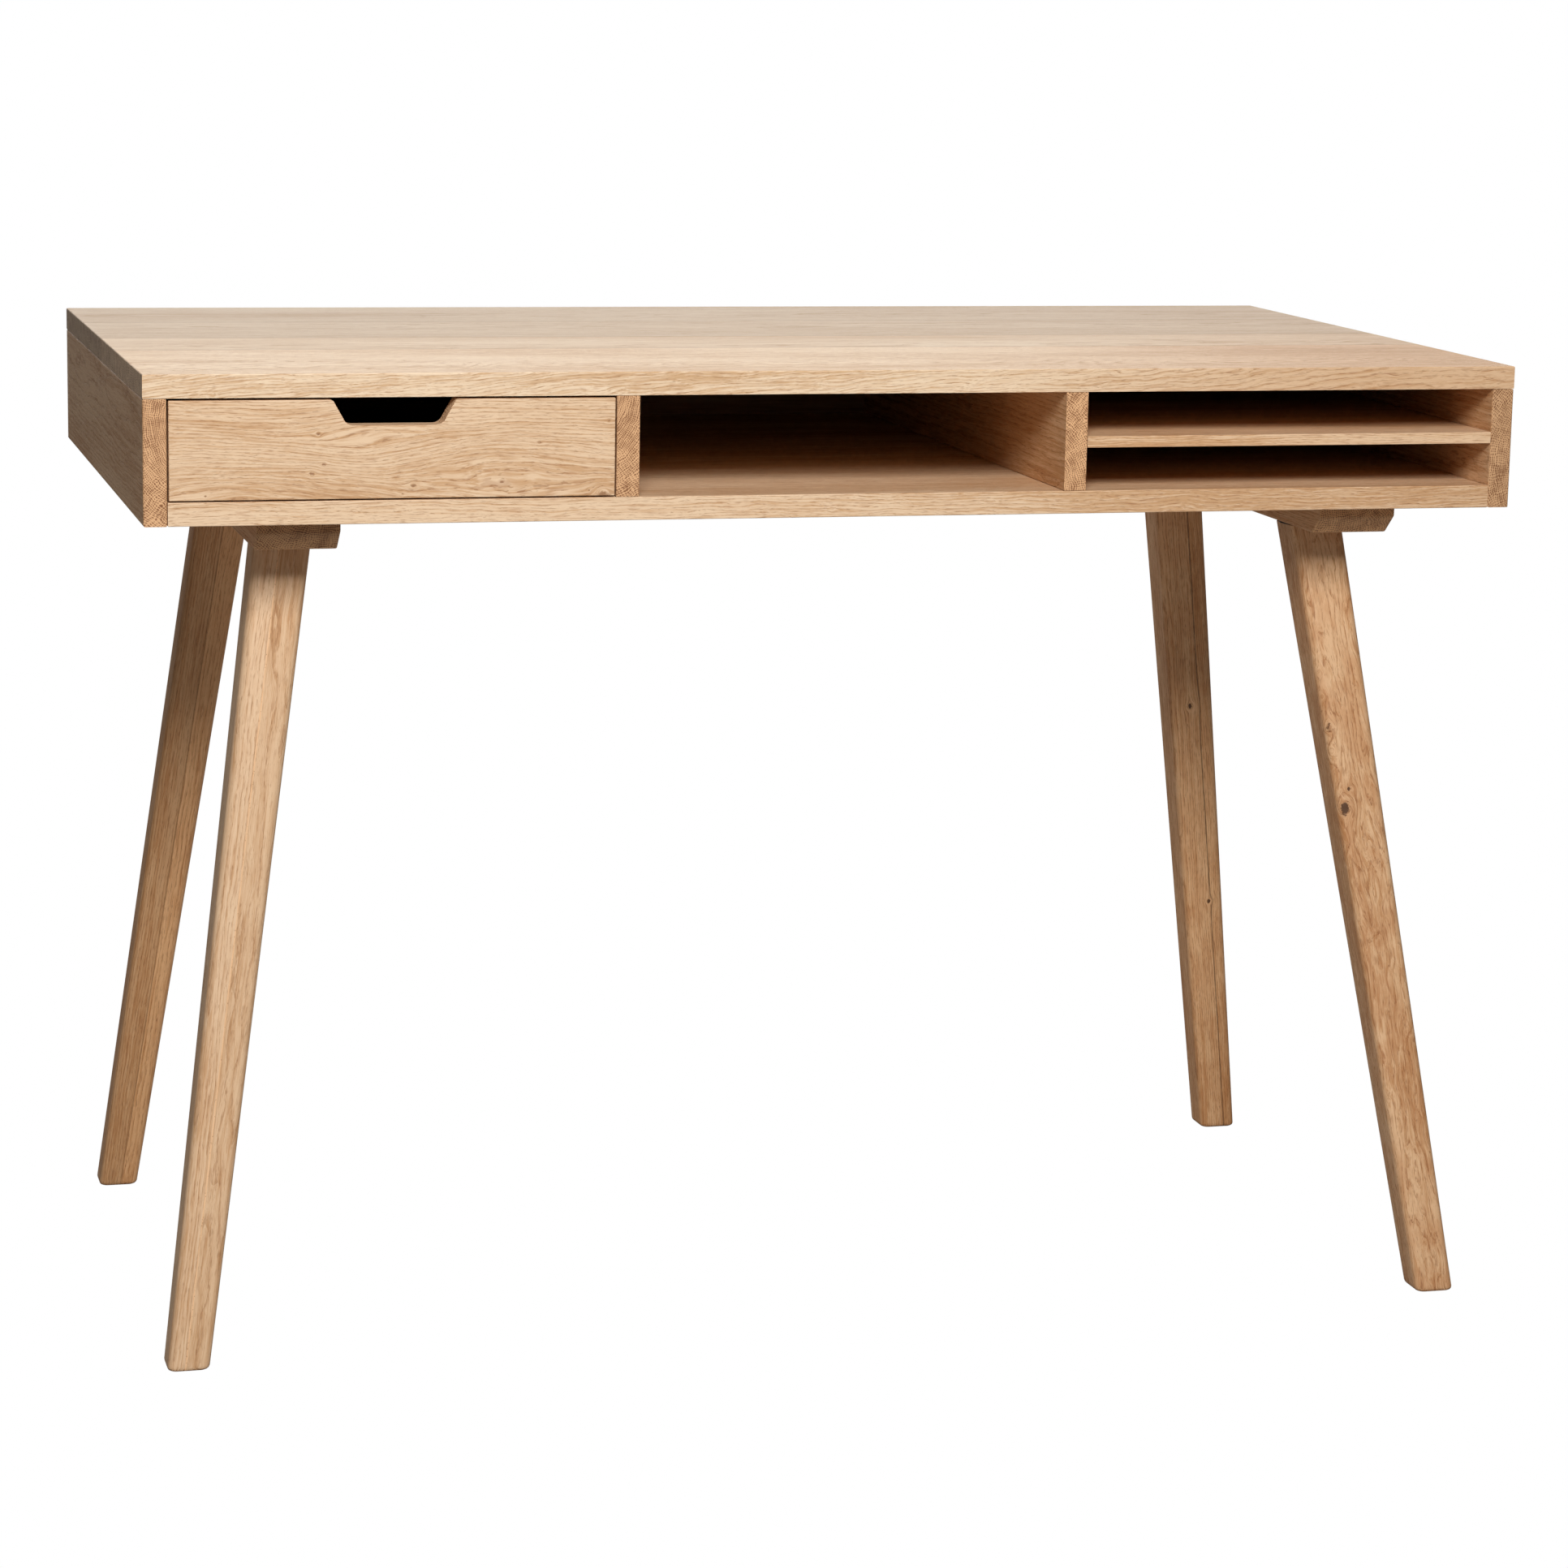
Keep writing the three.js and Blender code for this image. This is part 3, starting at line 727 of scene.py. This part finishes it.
class DESK_OT_top(bpy.types.Operator):
    """Build the glued top from its four staves"""

    bl_idname = "desk.build_top"
    bl_label = "Top"
    bl_options = {"REGISTER", "UNDO"}

    def execute(self, context):
        sizes, colours = settings_of(context)
        outer = max(abs(end[1]) for end in CAD_BOX)
        for node, (offset, wood) in TOP_STAVES.items():
            low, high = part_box(node)
            seams = [edge for edge in (low[1], high[1]) if abs(edge) < outer - TIDY_MERGE]
            heart = heart_off(node, offset)
            timber = Timber(heart=heart, seams=tuple(seams), **{**TOP_WOOD, **wood})
            flush = [(2, low[2])] + [(1, seam) for seam in seams]
            oak_piece(node, timber, colours, sizes.board_ease, flush=flush)
        return {"FINISHED"}


class DESK_OT_case(bpy.types.Operator):
    """Build the uprights, the bottom board, the shelf and the stops"""

    bl_idname = "desk.build_case"
    bl_label = "Case"
    bl_options = {"REGISTER", "UNDO"}

    def execute(self, context):
        sizes, colours = settings_of(context)
        for node, (offset, wood) in UPRIGHTS.items():
            timber = Timber(heart=heart_off(node, offset), **UPRIGHT_WOOD, **wood)
            low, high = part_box(node)
            joints = (high[2],) if node.startswith("side") else (low[2], high[2])
            ease = sizes.side_ease if node.startswith("side") else sizes.board_ease * 0.5
            flush = [(2, level) for level in joints]
            oak_piece(node, timber, colours, ease, flush=flush)
        # The bottom board's far end is darkened as painted shade, for the light falling off towards
        # it.
        bottom = Timber(
            heart=heart_off("bottom_board", (0, -330, -58)), ring=2.1, wander=8.0, tone=1.04,
            warmth=0.0, fade=0.25, seed=9.5, ripple=5.0,
        )
        ends = [(0, corner[0]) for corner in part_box("bottom_board")]
        ease = sizes.board_ease * 0.7
        oak_piece("bottom_board", bottom, colours, ease, flush=ends)
        shelf = Timber(
            heart=heart_off("letter_shelf", (0, -300, 60)), ring=1.8, wander=6.0, tone=1.03,
            warmth=0.10, seed=10.6,
        )
        oak_piece("letter_shelf", shelf, colours, sizes.board_ease * 0.6)
        for side in ("left", "right"):
            node = f"drawer_stop_{side}"
            stop = Timber(heart=heart_off(node, (0, 30, 40)), seed=11.0, tone=0.88)
            oak_piece(node, stop, colours, sizes.board_ease, shortest=5 * MM)
        return {"FINISHED"}


class DESK_OT_back(bpy.types.Operator):
    """Build the back panel"""

    bl_idname = "desk.build_back"
    bl_label = "Back panel"
    bl_options = {"REGISTER", "UNDO"}

    def execute(self, context):
        sizes, colours = settings_of(context)
        # Its low tone, 0.74, is painted shade: it darkens the back panel so that the bays look dark
        # inside.
        material = plywood("plywood_back", ALONG_X, 0.74, colours)
        eased_piece("back_panel", material, "desk", "plywood", sizes.board_ease * 0.4)
        return {"FINISHED"}


# ------ drawer


class DESK_OT_drawer(bpy.types.Operator):
    """Build the drawer, with its front's finger cut-out"""

    bl_idname = "desk.build_drawer"
    bl_label = "Drawer"
    bl_options = {"REGISTER", "UNDO"}

    def execute(self, context):
        sizes, colours = settings_of(context)
        x, _, z = middle("drawer_front")
        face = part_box("drawer_front")[0][1]

        def on_face(marks):
            return tuple((x + across * MM, face, z + up * MM, size) for across, up, size in marks)

        knots = on_face((
            (-58, 12, 2.2), (-54, -11, 2.0), (-63, -18, 2.3), (14, -28, 2.6), (82, -26, 2.2),
            (-143, -34, 1.5), (150, -33, 1.2), (111, 4, 1.2), (165, 20, 1.2), (6, -34, 1.1),
            (161, -37, 6.0),
        ))
        swells = on_face(((78, -26, 30), (-118, -52, 34), (-20, 6, 18)))
        front = Timber(
            heart=heart_off("drawer_front", (0, 46, -74)), ring=2.5, wander=8.0, tone=1.02,
            knots=knots, swells=swells, seed=12.0, knot_depth=0.12, warmth=0.02,
        )
        ease = sizes.board_ease * 0.8
        oak_piece("drawer_front", front, colours, ease, body="drawer", shortest=0.4 * MM)
        for side in ("left", "right"):
            node = f"drawer_side_{side}"
            wall = Timber(heart=heart_off(node, (60, 0, 20)), grain=ALONG_Y, seed=13.0, tone=0.92)
            oak_piece(node, wall, colours, sizes.board_ease, body="drawer")
        back = Timber(heart=heart_off("drawer_back", (0, 50, 15)), seed=14.0, tone=0.92)
        oak_piece("drawer_back", back, colours, sizes.board_ease, body="drawer")
        material = plywood("plywood_drawer_bottom", ALONG_X, 0.98, colours)
        eased_piece("drawer_bottom", material, "drawer", "plywood", sizes.board_ease * 0.4)
        return {"FINISHED"}


# ------ cleats


class DESK_OT_cleats(bpy.types.Operator):
    """Build the two cleats that carry the legs"""

    bl_idname = "desk.build_cleats"
    bl_label = "Cleats"
    bl_options = {"REGISTER", "UNDO"}

    def execute(self, context):
        sizes, colours = settings_of(context)
        # Painted shade: the left cleat's end is given a much darker end tone, 0.66, and both cleats
        # a high warmth, for the shade under the case.
        for side, offset, seed, tone in (
            ("left", (20, 0, 62), 15.0, 0.66), ("right", (-26, 0, 70), 16.0, 0.90),
        ):
            node = f"cleat_{side}"
            timber = Timber(
                heart=heart_off(node, offset), grain=ALONG_Y, ring=2.4, wander=5.0, tone=0.95,
                warmth=0.38, end_tone=tone, seed=seed,
            )
            oak_piece(node, timber, colours, sizes.cleat_ease, slot="oak_legs")
        return {"FINISHED"}


# ------ Geometry Nodes


SCREW_SIDES = 20
RINGS_IN_THREAD = 4.0


class Recipe:
    """A Geometry Nodes tree with named inputs, which makes one mesh."""

    def __init__(self, name, inputs):
        self.group = bpy.data.node_groups.new(name, "GeometryNodeTree")
        interface = self.group.interface
        interface.new_socket(name="Geometry", in_out="INPUT", socket_type="NodeSocketGeometry")
        self.keys = {}
        for label, kind in inputs.items():
            kind = f"NodeSocket{kind}"
            socket = interface.new_socket(name=label, in_out="INPUT", socket_type=kind)
            self.keys[label] = socket.identifier
        interface.new_socket(name="Geometry", in_out="OUTPUT", socket_type="NodeSocketGeometry")
        self.tree = Tree(self.group)
        self.entry = self.tree.add("NodeGroupInput", {}, {})

    def given(self, label):
        return Wire(self.tree, self.entry.outputs[label])

    def finish(self, geometry):
        """Ends the tree in plain mesh with its material."""
        real = self.tree.node("GeometryNodeRealizeInstances", {}, {"Geometry": geometry})
        values = {"Geometry": real, "Material": self.given("Material")}
        painted = self.tree.node("GeometryNodeSetMaterial", {}, values)
        self.tree.add("NodeGroupOutput", {}, {0: painted})

    def make(self, name, points, values):
        """Runs the tree on loose points and returns the plain mesh."""
        seed_mesh = bpy.data.meshes.new(name)
        seed_mesh.from_pydata([tuple(point) for point in points], [], [])
        carrier = bpy.data.objects.new(f"{name}_carrier", seed_mesh)
        bpy.context.scene.collection.objects.link(carrier)
        modifier = carrier.modifiers.new("Recipe", "NODES")
        modifier.node_group = self.group
        for label, value in values.items():
            modifier[self.keys[label]] = value
        graph = bpy.context.evaluated_depsgraph_get()
        mesh = bpy.data.meshes.new_from_object(carrier.evaluated_get(graph))
        carrier.modifiers.remove(modifier)
        bpy.data.objects.remove(carrier)
        mesh.name = name
        shape = bmesh.new()
        shape.from_mesh(mesh)
        bmesh.ops.remove_doubles(shape, verts=shape.verts, dist=MERGE)
        bmesh.ops.recalc_face_normals(shape, faces=shape.faces)
        shape.to_mesh(mesh)
        shape.free()
        return mesh


def sweep(tree, line, section):
    """A solid with a closed section all along a line, as wide as the line's radius makes it."""
    radius = tree.node("GeometryNodeInputRadius")
    values = {"Curve": line, "Profile Curve": section, "Scale": radius, "Fill Caps": True}
    return tree.node("GeometryNodeCurveToMesh", {}, values)


def leg_recipe():
    """A square leg with round edges, tapered and splayed from its level top to its level foot."""
    recipe = Recipe("Splayed leg", {
        "Height": "Float", "Top Width": "Float", "Foot Width": "Float", "Edge Radius": "Float",
        "Foot Round": "Float", "Rings": "Int", "Top Centre": "Vector", "Foot Centre": "Vector",
        "Material": "Material",
    })
    tree = recipe.tree
    height = recipe.given("Height")
    top_width = recipe.given("Top Width")
    foot_round = recipe.given("Foot Round")
    top_point = tree.node("ShaderNodeCombineXYZ", {}, {"Z": height})
    line = tree.node("GeometryNodeCurvePrimitiveLine", {}, {"Start": (0, 0, 0), "End": top_point})
    count = recipe.given("Rings")
    line = tree.node("GeometryNodeResampleCurve", {}, {"Curve": line, "Count": count})

    # The rings crowd towards the foot, where its edge is round.
    factor = tree.node("GeometryNodeSplineParameter", {}, {}, "Factor")
    level = factor * factor * height
    lifted = tree.node("ShaderNodeCombineXYZ", {}, {"Z": level})
    line = tree.node("GeometryNodeSetPosition", {}, {"Geometry": line, "Position": lifted})
    position = tree.node("GeometryNodeInputPosition")
    up = position.parts()[2]
    share = up / height
    width = recipe.given("Foot Width") * (1.0 - share) + top_width * share
    below = (foot_round - up).done("MAXIMUM", 0.0)
    inset = foot_round - (foot_round * foot_round - below * below).done("SQRT")
    scale = (width - inset * 2.0) / top_width
    line = tree.node("GeometryNodeSetCurveRadius", {}, {"Curve": line, "Radius": scale})
    sides = {"Width": top_width, "Height": top_width}
    section = tree.node("GeometryNodeCurvePrimitiveQuadrilateral", {}, sides)
    rounding = {"Curve": section, "Count": 8, "Radius": recipe.given("Edge Radius"),
                "Limit Radius": True}
    section = tree.node("GeometryNodeFilletCurve", {"mode": "POLY"}, rounding)
    leg = sweep(tree, line, section)
    share = tree.node("GeometryNodeInputPosition").parts()[2] / height
    lean = recipe.given("Foot Centre") * (1.0 - share) + recipe.given("Top Centre") * share
    leg = tree.node("GeometryNodeSetPosition", {}, {"Geometry": leg, "Offset": lean})
    recipe.finish(leg)
    return recipe


def screw_recipe():
    """Countersunk wood screws at points, with threads, a point and a cross recess."""
    recipe = Recipe("Wood screws", {
        "Length": "Float", "Core Radius": "Float", "Head Radius": "Float", "Pitch": "Float",
        "Turn": "Vector", "Material": "Material",
    })
    tree = recipe.tree
    length = recipe.given("Length")
    core = recipe.given("Core Radius")
    head = recipe.given("Head Radius")
    rings = length / recipe.given("Pitch") * RINGS_IN_THREAD
    end = tree.node("ShaderNodeCombineXYZ", {}, {"Z": -length})
    line = tree.node("GeometryNodeCurvePrimitiveLine", {}, {"Start": (0, 0, 0), "End": end})
    line = tree.node("GeometryNodeResampleCurve", {}, {"Curve": line, "Count": rings})
    depth = -tree.node("GeometryNodeInputPosition").parts()[2]
    step = tree.node("GeometryNodeInputIndex").done("MODULO", RINGS_IN_THREAD)
    crest = (step - RINGS_IN_THREAD / 2).done("ABSOLUTE").done("LESS_THAN", 0.5)
    shank = core * (crest * 0.3 + 0.7)
    point = ((length - depth) / (core * 2.5)).done("MINIMUM", 1.0).done("MAXIMUM", 0.08)
    cone = head - depth
    radius = (shank * point).done("MAXIMUM", cone)
    line = tree.node("GeometryNodeSetCurveRadius", {}, {"Curve": line, "Radius": radius})
    values = {"Resolution": SCREW_SIDES, "Radius": 1.0}
    circle = tree.node("GeometryNodeCurvePrimitiveCircle", {"mode": "RADIUS"}, values)
    body = sweep(tree, line, circle)
    slots = []
    for quarter in (0.0, math.pi / 2):
        values = {"X": head * 0.95, "Y": head * 0.22, "Z": head * 0.7}
        size = tree.node("ShaderNodeCombineXYZ", {}, values)
        bar = tree.node("GeometryNodeMeshCube", {}, {"Size": size})
        turned = {"Geometry": bar, "Rotation": (0.0, 0.0, quarter)}
        slots.append(tree.node("GeometryNodeTransform", {}, turned))
    cross = tree.add("GeometryNodeMeshBoolean", {"operation": "UNION", "solver": "EXACT"}, {})
    for bar in slots:
        tree.links.new(bar.socket, cross.inputs["Mesh 2"])
    cut = tree.add("GeometryNodeMeshBoolean", {"operation": "DIFFERENCE", "solver": "EXACT"}, {})
    tree.links.new(body.socket, cut.inputs["Mesh 1"])
    tree.links.new(cross.outputs["Mesh"], cut.inputs["Mesh 2"])
    points = tree.node("GeometryNodeMeshToPoints", {}, {"Mesh": recipe.given("Geometry")})
    spread = {"Points": points, "Instance": Wire(tree, cut.outputs["Mesh"]),
              "Rotation": recipe.given("Turn")}
    placed = tree.node("GeometryNodeInstanceOnPoints", {}, spread)
    recipe.finish(placed)
    return recipe


# ------ legs

# Painted shade: the high warmth of the front right and rear legs, and the rear left leg's lower
# tone, make these shaded legs darker and redder.
LEGS = {
    "leg_front_left": dict(
        offset=(34, 26), tone=1.02, warmth=0.10, seed=17.0, ring=2.2, wander=4.0,
        joint=(-36, 1.10, 0.96), contrast=0.85, mottle=0.12,
    ),
    "leg_front_right": dict(
        offset=(-18, 34), tone=1.0, warmth=0.26, seed=18.5, ring=2.4, wander=13.0, ripple=8.0,
        knots=((0.365, -15, 8.5), (0.26, -19, 6.5), (0.22, -21, 5.0), (0.34, -9, 3.0),
               (0.19, -20, 4.0), (0.29, -20, 4.0)),
        contrast=1.15, mottle=0.5,
    ),
    "leg_rear_left": dict(
        offset=(30, -30), tone=0.93, warmth=0.38, seed=19.7, ring=2.4, wander=4.0,
        joint=(-28, 0.70, 1.17), contrast=1.1, mottle=0.15,
    ),
    "leg_rear_right": dict(
        offset=(-40, -20), tone=1.07, warmth=0.34, seed=20.2, ring=2.2, wander=5.0,
        joint=(45, 0.30, 1.0), contrast=1.2, mottle=0.35,
        knots=((0.34, -3, 4.0), (0.64, 4, 3.5)),
    ),
}


def leg_ends(node):
    """Centre and width of a leg's level top and level foot, from its CAD node."""
    low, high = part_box(node)
    points = [vertex.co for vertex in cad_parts[node].data.vertices]
    ends = []
    for level in (high[2], low[2]):
        ring = [point for point in points if abs(point.z - level) < TIDY_MERGE]
        reach = [(min(p[axis] for p in ring), max(p[axis] for p in ring)) for axis in (0, 1)]
        centre = Vector(((reach[0][0] + reach[0][1]) / 2, (reach[1][0] + reach[1][1]) / 2, 0.0))
        ends.append((centre, reach[0][1] - reach[0][0]))
    return high[2], ends[0], ends[1]


class DESK_OT_legs(bpy.types.Operator):
    """Build the four splayed legs"""

    bl_idname = "desk.build_legs"
    bl_label = "Legs"
    bl_options = {"REGISTER", "UNDO"}

    def execute(self, context):
        sizes, colours = settings_of(context)
        recipe = leg_recipe()
        for node, settings in LEGS.items():
            wood = dict(settings)
            height, (top, top_width), (foot, foot_width) = leg_ends(node)
            grain = (top - foot + Vector((0, 0, height))).normalized()
            heart = foot + Vector((*wood.pop("offset"), 0)) * MM
            knots = []
            for share, across, radius in wood.pop("knots", ()):
                spot = top.lerp(foot, share) + Vector((across * MM, 0, height * (1 - share)))
                spot.y -= (top_width + (foot_width - top_width) * share) / 2
                knots.append((*spot, radius))
            timber = Timber(heart=tuple(heart), grain=tuple(grain), knots=tuple(knots), **wood)
            material = oak(f"oak_{node}", timber, colours)
            mesh = recipe.make(node, [(0, 0, 0)], {
                "Height": height, "Top Width": top_width, "Foot Width": foot_width,
                "Edge Radius": sizes.leg_edge, "Foot Round": sizes.foot_round,
                "Rings": sizes.leg_rings, "Top Centre": tuple(top), "Foot Centre": tuple(foot),
                "Material": material,
            })
            place_piece(f"{node}_finished", mesh, material, "desk", [node])
        return {"FINISHED"}


# ------ screws and leg fixings


class DESK_OT_screws(bpy.types.Operator):
    """Build the wood screws of the cleats, the back panel and the drawer"""

    bl_idname = "desk.build_screws"
    bl_label = "Screws"
    bl_options = {"REGISTER", "UNDO"}

    def execute(self, context):
        sizes, colours = settings_of(context)
        recipe = screw_recipe()
        material = metal("zinc_plated_screws", tuple(colours.steel), 0.34)
        groups = (
            ("cleat_left_screw", "desk", 2, -1),
            ("cleat_right_screw", "desk", 2, -1),
            ("back_panel_screw", "desk", 1, 1),
            ("drawer_bottom_screw", "drawer", 2, -1),
        )
        for prefix, body, axis, way in groups:
            nodes = sorted(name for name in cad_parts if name.startswith(prefix))
            heads = []
            for node in nodes:
                low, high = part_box(node)
                head = middle(node)
                head[axis] = high[axis] if way > 0 else low[axis]
                heads.append(head)
            length = high[axis] - low[axis]
            head_radius = (high[0] - low[0]) / 2
            outward = Vector((0, 0, 0))
            outward[axis] = way
            turn = Vector(ALONG_Z).rotation_difference(outward).to_euler()
            mesh = recipe.make(f"{prefix}s", heads, {
                "Length": length, "Core Radius": head_radius / 2, "Head Radius": head_radius,
                "Pitch": sizes.thread_pitch, "Turn": tuple(turn), "Material": material,
            })
            place_piece(f"{prefix}s", mesh, material, body, nodes)
        return {"FINISHED"}


class DESK_OT_leg_fixings(bpy.types.Operator):
    """Finish the plates, bolts and nuts that hold the legs"""

    bl_idname = "desk.finish_leg_fixings"
    bl_label = "Leg fixings"
    bl_options = {"REGISTER", "UNDO"}

    def execute(self, context):
        colours = context.scene.desk_colours
        zinc = metal("zinc_plated_bolts", tuple(colours.steel), 0.38)
        black = metal("black_plates", (0.03, 0.03, 0.03), 0.5)
        for name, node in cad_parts.items():
            if name.startswith(("hanger_bolt", "tee_nut", "leg_plate")):
                node.data.materials.clear()
                node.data.materials.append(black if name.startswith("leg_plate") else zinc)
        return {"FINISHED"}


# ------ studio


class DESK_OT_studio(bpy.types.Operator):
    """Build the floor, the light and the camera"""

    bl_idname = "desk.build_studio"
    bl_label = "Studio"
    bl_options = {"REGISTER", "UNDO"}

    def execute(self, context):
        studio = context.scene.desk_studio
        self.build_floor()
        self.build_light(studio)
        self.build_camera(studio)
        context.scene.view_settings.view_transform = "Standard"
        return {"FINISHED"}

    @staticmethod
    def build_floor():
        half = 12.0
        low = -0.3 * MM  # just clear of the feet, so that they show from beneath
        mesh = bpy.data.meshes.new("studio_floor")
        corners = [(-half, -half, low), (half, -half, low), (half, half, low), (-half, half, low)]
        mesh.from_pydata(corners, [], [(0, 1, 2, 3)])
        floor = bpy.data.objects.new("studio_floor", mesh)
        bpy.context.scene.collection.objects.link(floor)
        material = bpy.data.materials.new("white_floor")
        material.use_nodes = True
        material.node_tree.nodes.clear()
        tree = Tree(material.node_tree)
        seen = tree.node("ShaderNodeLightPath", {}, {}, "Is Camera Ray")
        paper = tree.node("ShaderNodeBsdfDiffuse", {}, {"Color": (0.36, 0.355, 0.35, 1.0)})
        glow = tree.node("ShaderNodeEmission", {}, {"Color": WHITE, "Strength": 1.0})
        above = tree.node("ShaderNodeMixShader", {}, {0: seen, 1: paper, 2: glow})
        underside = tree.node("ShaderNodeNewGeometry", {}, {}, "Backfacing")
        clear = tree.node("ShaderNodeBsdfTransparent")
        mixed = tree.node("ShaderNodeMixShader", {}, {0: underside, 1: above, 2: clear})
        tree.add("ShaderNodeOutputMaterial", {}, {"Surface": mixed})
        mesh.materials.append(material)

    @staticmethod
    def add_area(name, place, target, size, power):
        light = bpy.data.lights.new(name, "AREA")
        light.shape = "RECTANGLE"
        light.size, light.size_y = size
        light.energy = power
        light.color = WHITE
        lamp = bpy.data.objects.new(name, light)
        lamp.location = place
        lamp.rotation_euler = (Vector(target) - Vector(place)).to_track_quat("-Z", "Y").to_euler()
        lamp.visible_camera = False
        bpy.context.scene.collection.objects.link(lamp)

    def build_light(self, studio):
        self.add_area(
            "key_light", (-0.55, -3.1, 2.46), (0.0, -0.3, 0.55), (1.5, 1.0), studio.key_power,
        )
        self.add_area(
            "top_light", (0.0, 0.1, 3.2), (0.0, 0.0, 0.7), (2.4, 1.6), studio.top_power,
        )
        self.add_area(
            "back_light", (0.3, 3.4, 1.7), (0.0, 0.0, 0.7), (4.0, 2.0), studio.back_power,
        )
        world = bpy.data.worlds.new("white_room")
        bpy.context.scene.world = world
        world.use_nodes = True
        world.node_tree.nodes.clear()
        tree = Tree(world.node_tree)
        seen = tree.node("ShaderNodeLightPath", {}, {}, "Is Camera Ray")
        strength = seen * (1.0 - studio.ambient) + studio.ambient
        glow = tree.node("ShaderNodeBackground", {}, {"Color": WHITE, "Strength": strength})
        tree.add("ShaderNodeOutputWorld", {}, {"Surface": glow})

    @staticmethod
    def build_camera(studio):
        heading, pitch, roll = studio.camera_heading, studio.camera_pitch, studio.camera_roll
        ahead = Vector((
            math.sin(heading) * math.cos(pitch), math.cos(heading) * math.cos(pitch),
            -math.sin(pitch),
        ))
        level = Vector((math.cos(heading), -math.sin(heading), 0.0))
        upright = level.cross(ahead)
        side = level * math.cos(roll) + upright * math.sin(roll)
        up = upright * math.cos(roll) - level * math.sin(roll)
        turn = Matrix((side, up, -ahead)).transposed().to_4x4()
        data = bpy.data.cameras.new("camera")
        data.lens = studio.lens
        data.sensor_width = 36.0
        data.clip_end = 100.0
        camera = bpy.data.objects.new("camera", data)
        camera.matrix_world = Matrix.Translation(studio.camera_place) @ turn
        bpy.context.scene.collection.objects.link(camera)
        bpy.context.scene.camera = camera


# ------ add-on

PIECE_OPERATORS = (
    DESK_OT_top, DESK_OT_case, DESK_OT_back, DESK_OT_drawer, DESK_OT_cleats, DESK_OT_legs,
    DESK_OT_screws, DESK_OT_leg_fixings, DESK_OT_studio,
)


class DESK_PT_panel(bpy.types.Panel):
    """Everything that the desk is built with"""

    bl_idname = "DESK_PT_panel"
    bl_label = "Oak writing desk"
    bl_space_type = "VIEW_3D"
    bl_region_type = "UI"
    bl_category = "Desk"

    def draw(self, context):
        scene = context.scene
        for group in (scene.desk_sizes, scene.desk_colours, scene.desk_studio):
            box = self.layout.box()
            for name in group.bl_rna.properties.keys():
                if name not in {"rna_type", "name"}:
                    box.prop(group, name)
        for operator in PIECE_OPERATORS:
            self.layout.operator(operator.bl_idname)


CLASSES = (DeskSizes, DeskColours, DeskStudio, *PIECE_OPERATORS, DESK_PT_panel)


def register():
    for item in CLASSES:
        bpy.utils.register_class(item)
    bpy.types.Scene.desk_sizes = PointerProperty(type=DeskSizes)
    bpy.types.Scene.desk_colours = PointerProperty(type=DeskColours)
    bpy.types.Scene.desk_studio = PointerProperty(type=DeskStudio)


def unregister():
    del bpy.types.Scene.desk_studio
    del bpy.types.Scene.desk_colours
    del bpy.types.Scene.desk_sizes
    for item in reversed(CLASSES):
        bpy.utils.unregister_class(item)


def main():
    register()
    bpy.ops.desk.build_studio()
    bpy.ops.desk.build_top()
    bpy.ops.desk.build_case()
    bpy.ops.desk.build_back()
    bpy.ops.desk.build_drawer()
    bpy.ops.desk.build_cleats()
    bpy.ops.desk.build_legs()
    bpy.ops.desk.build_screws()
    bpy.ops.desk.finish_leg_fixings()


if __name__ == "__main__":
    main()
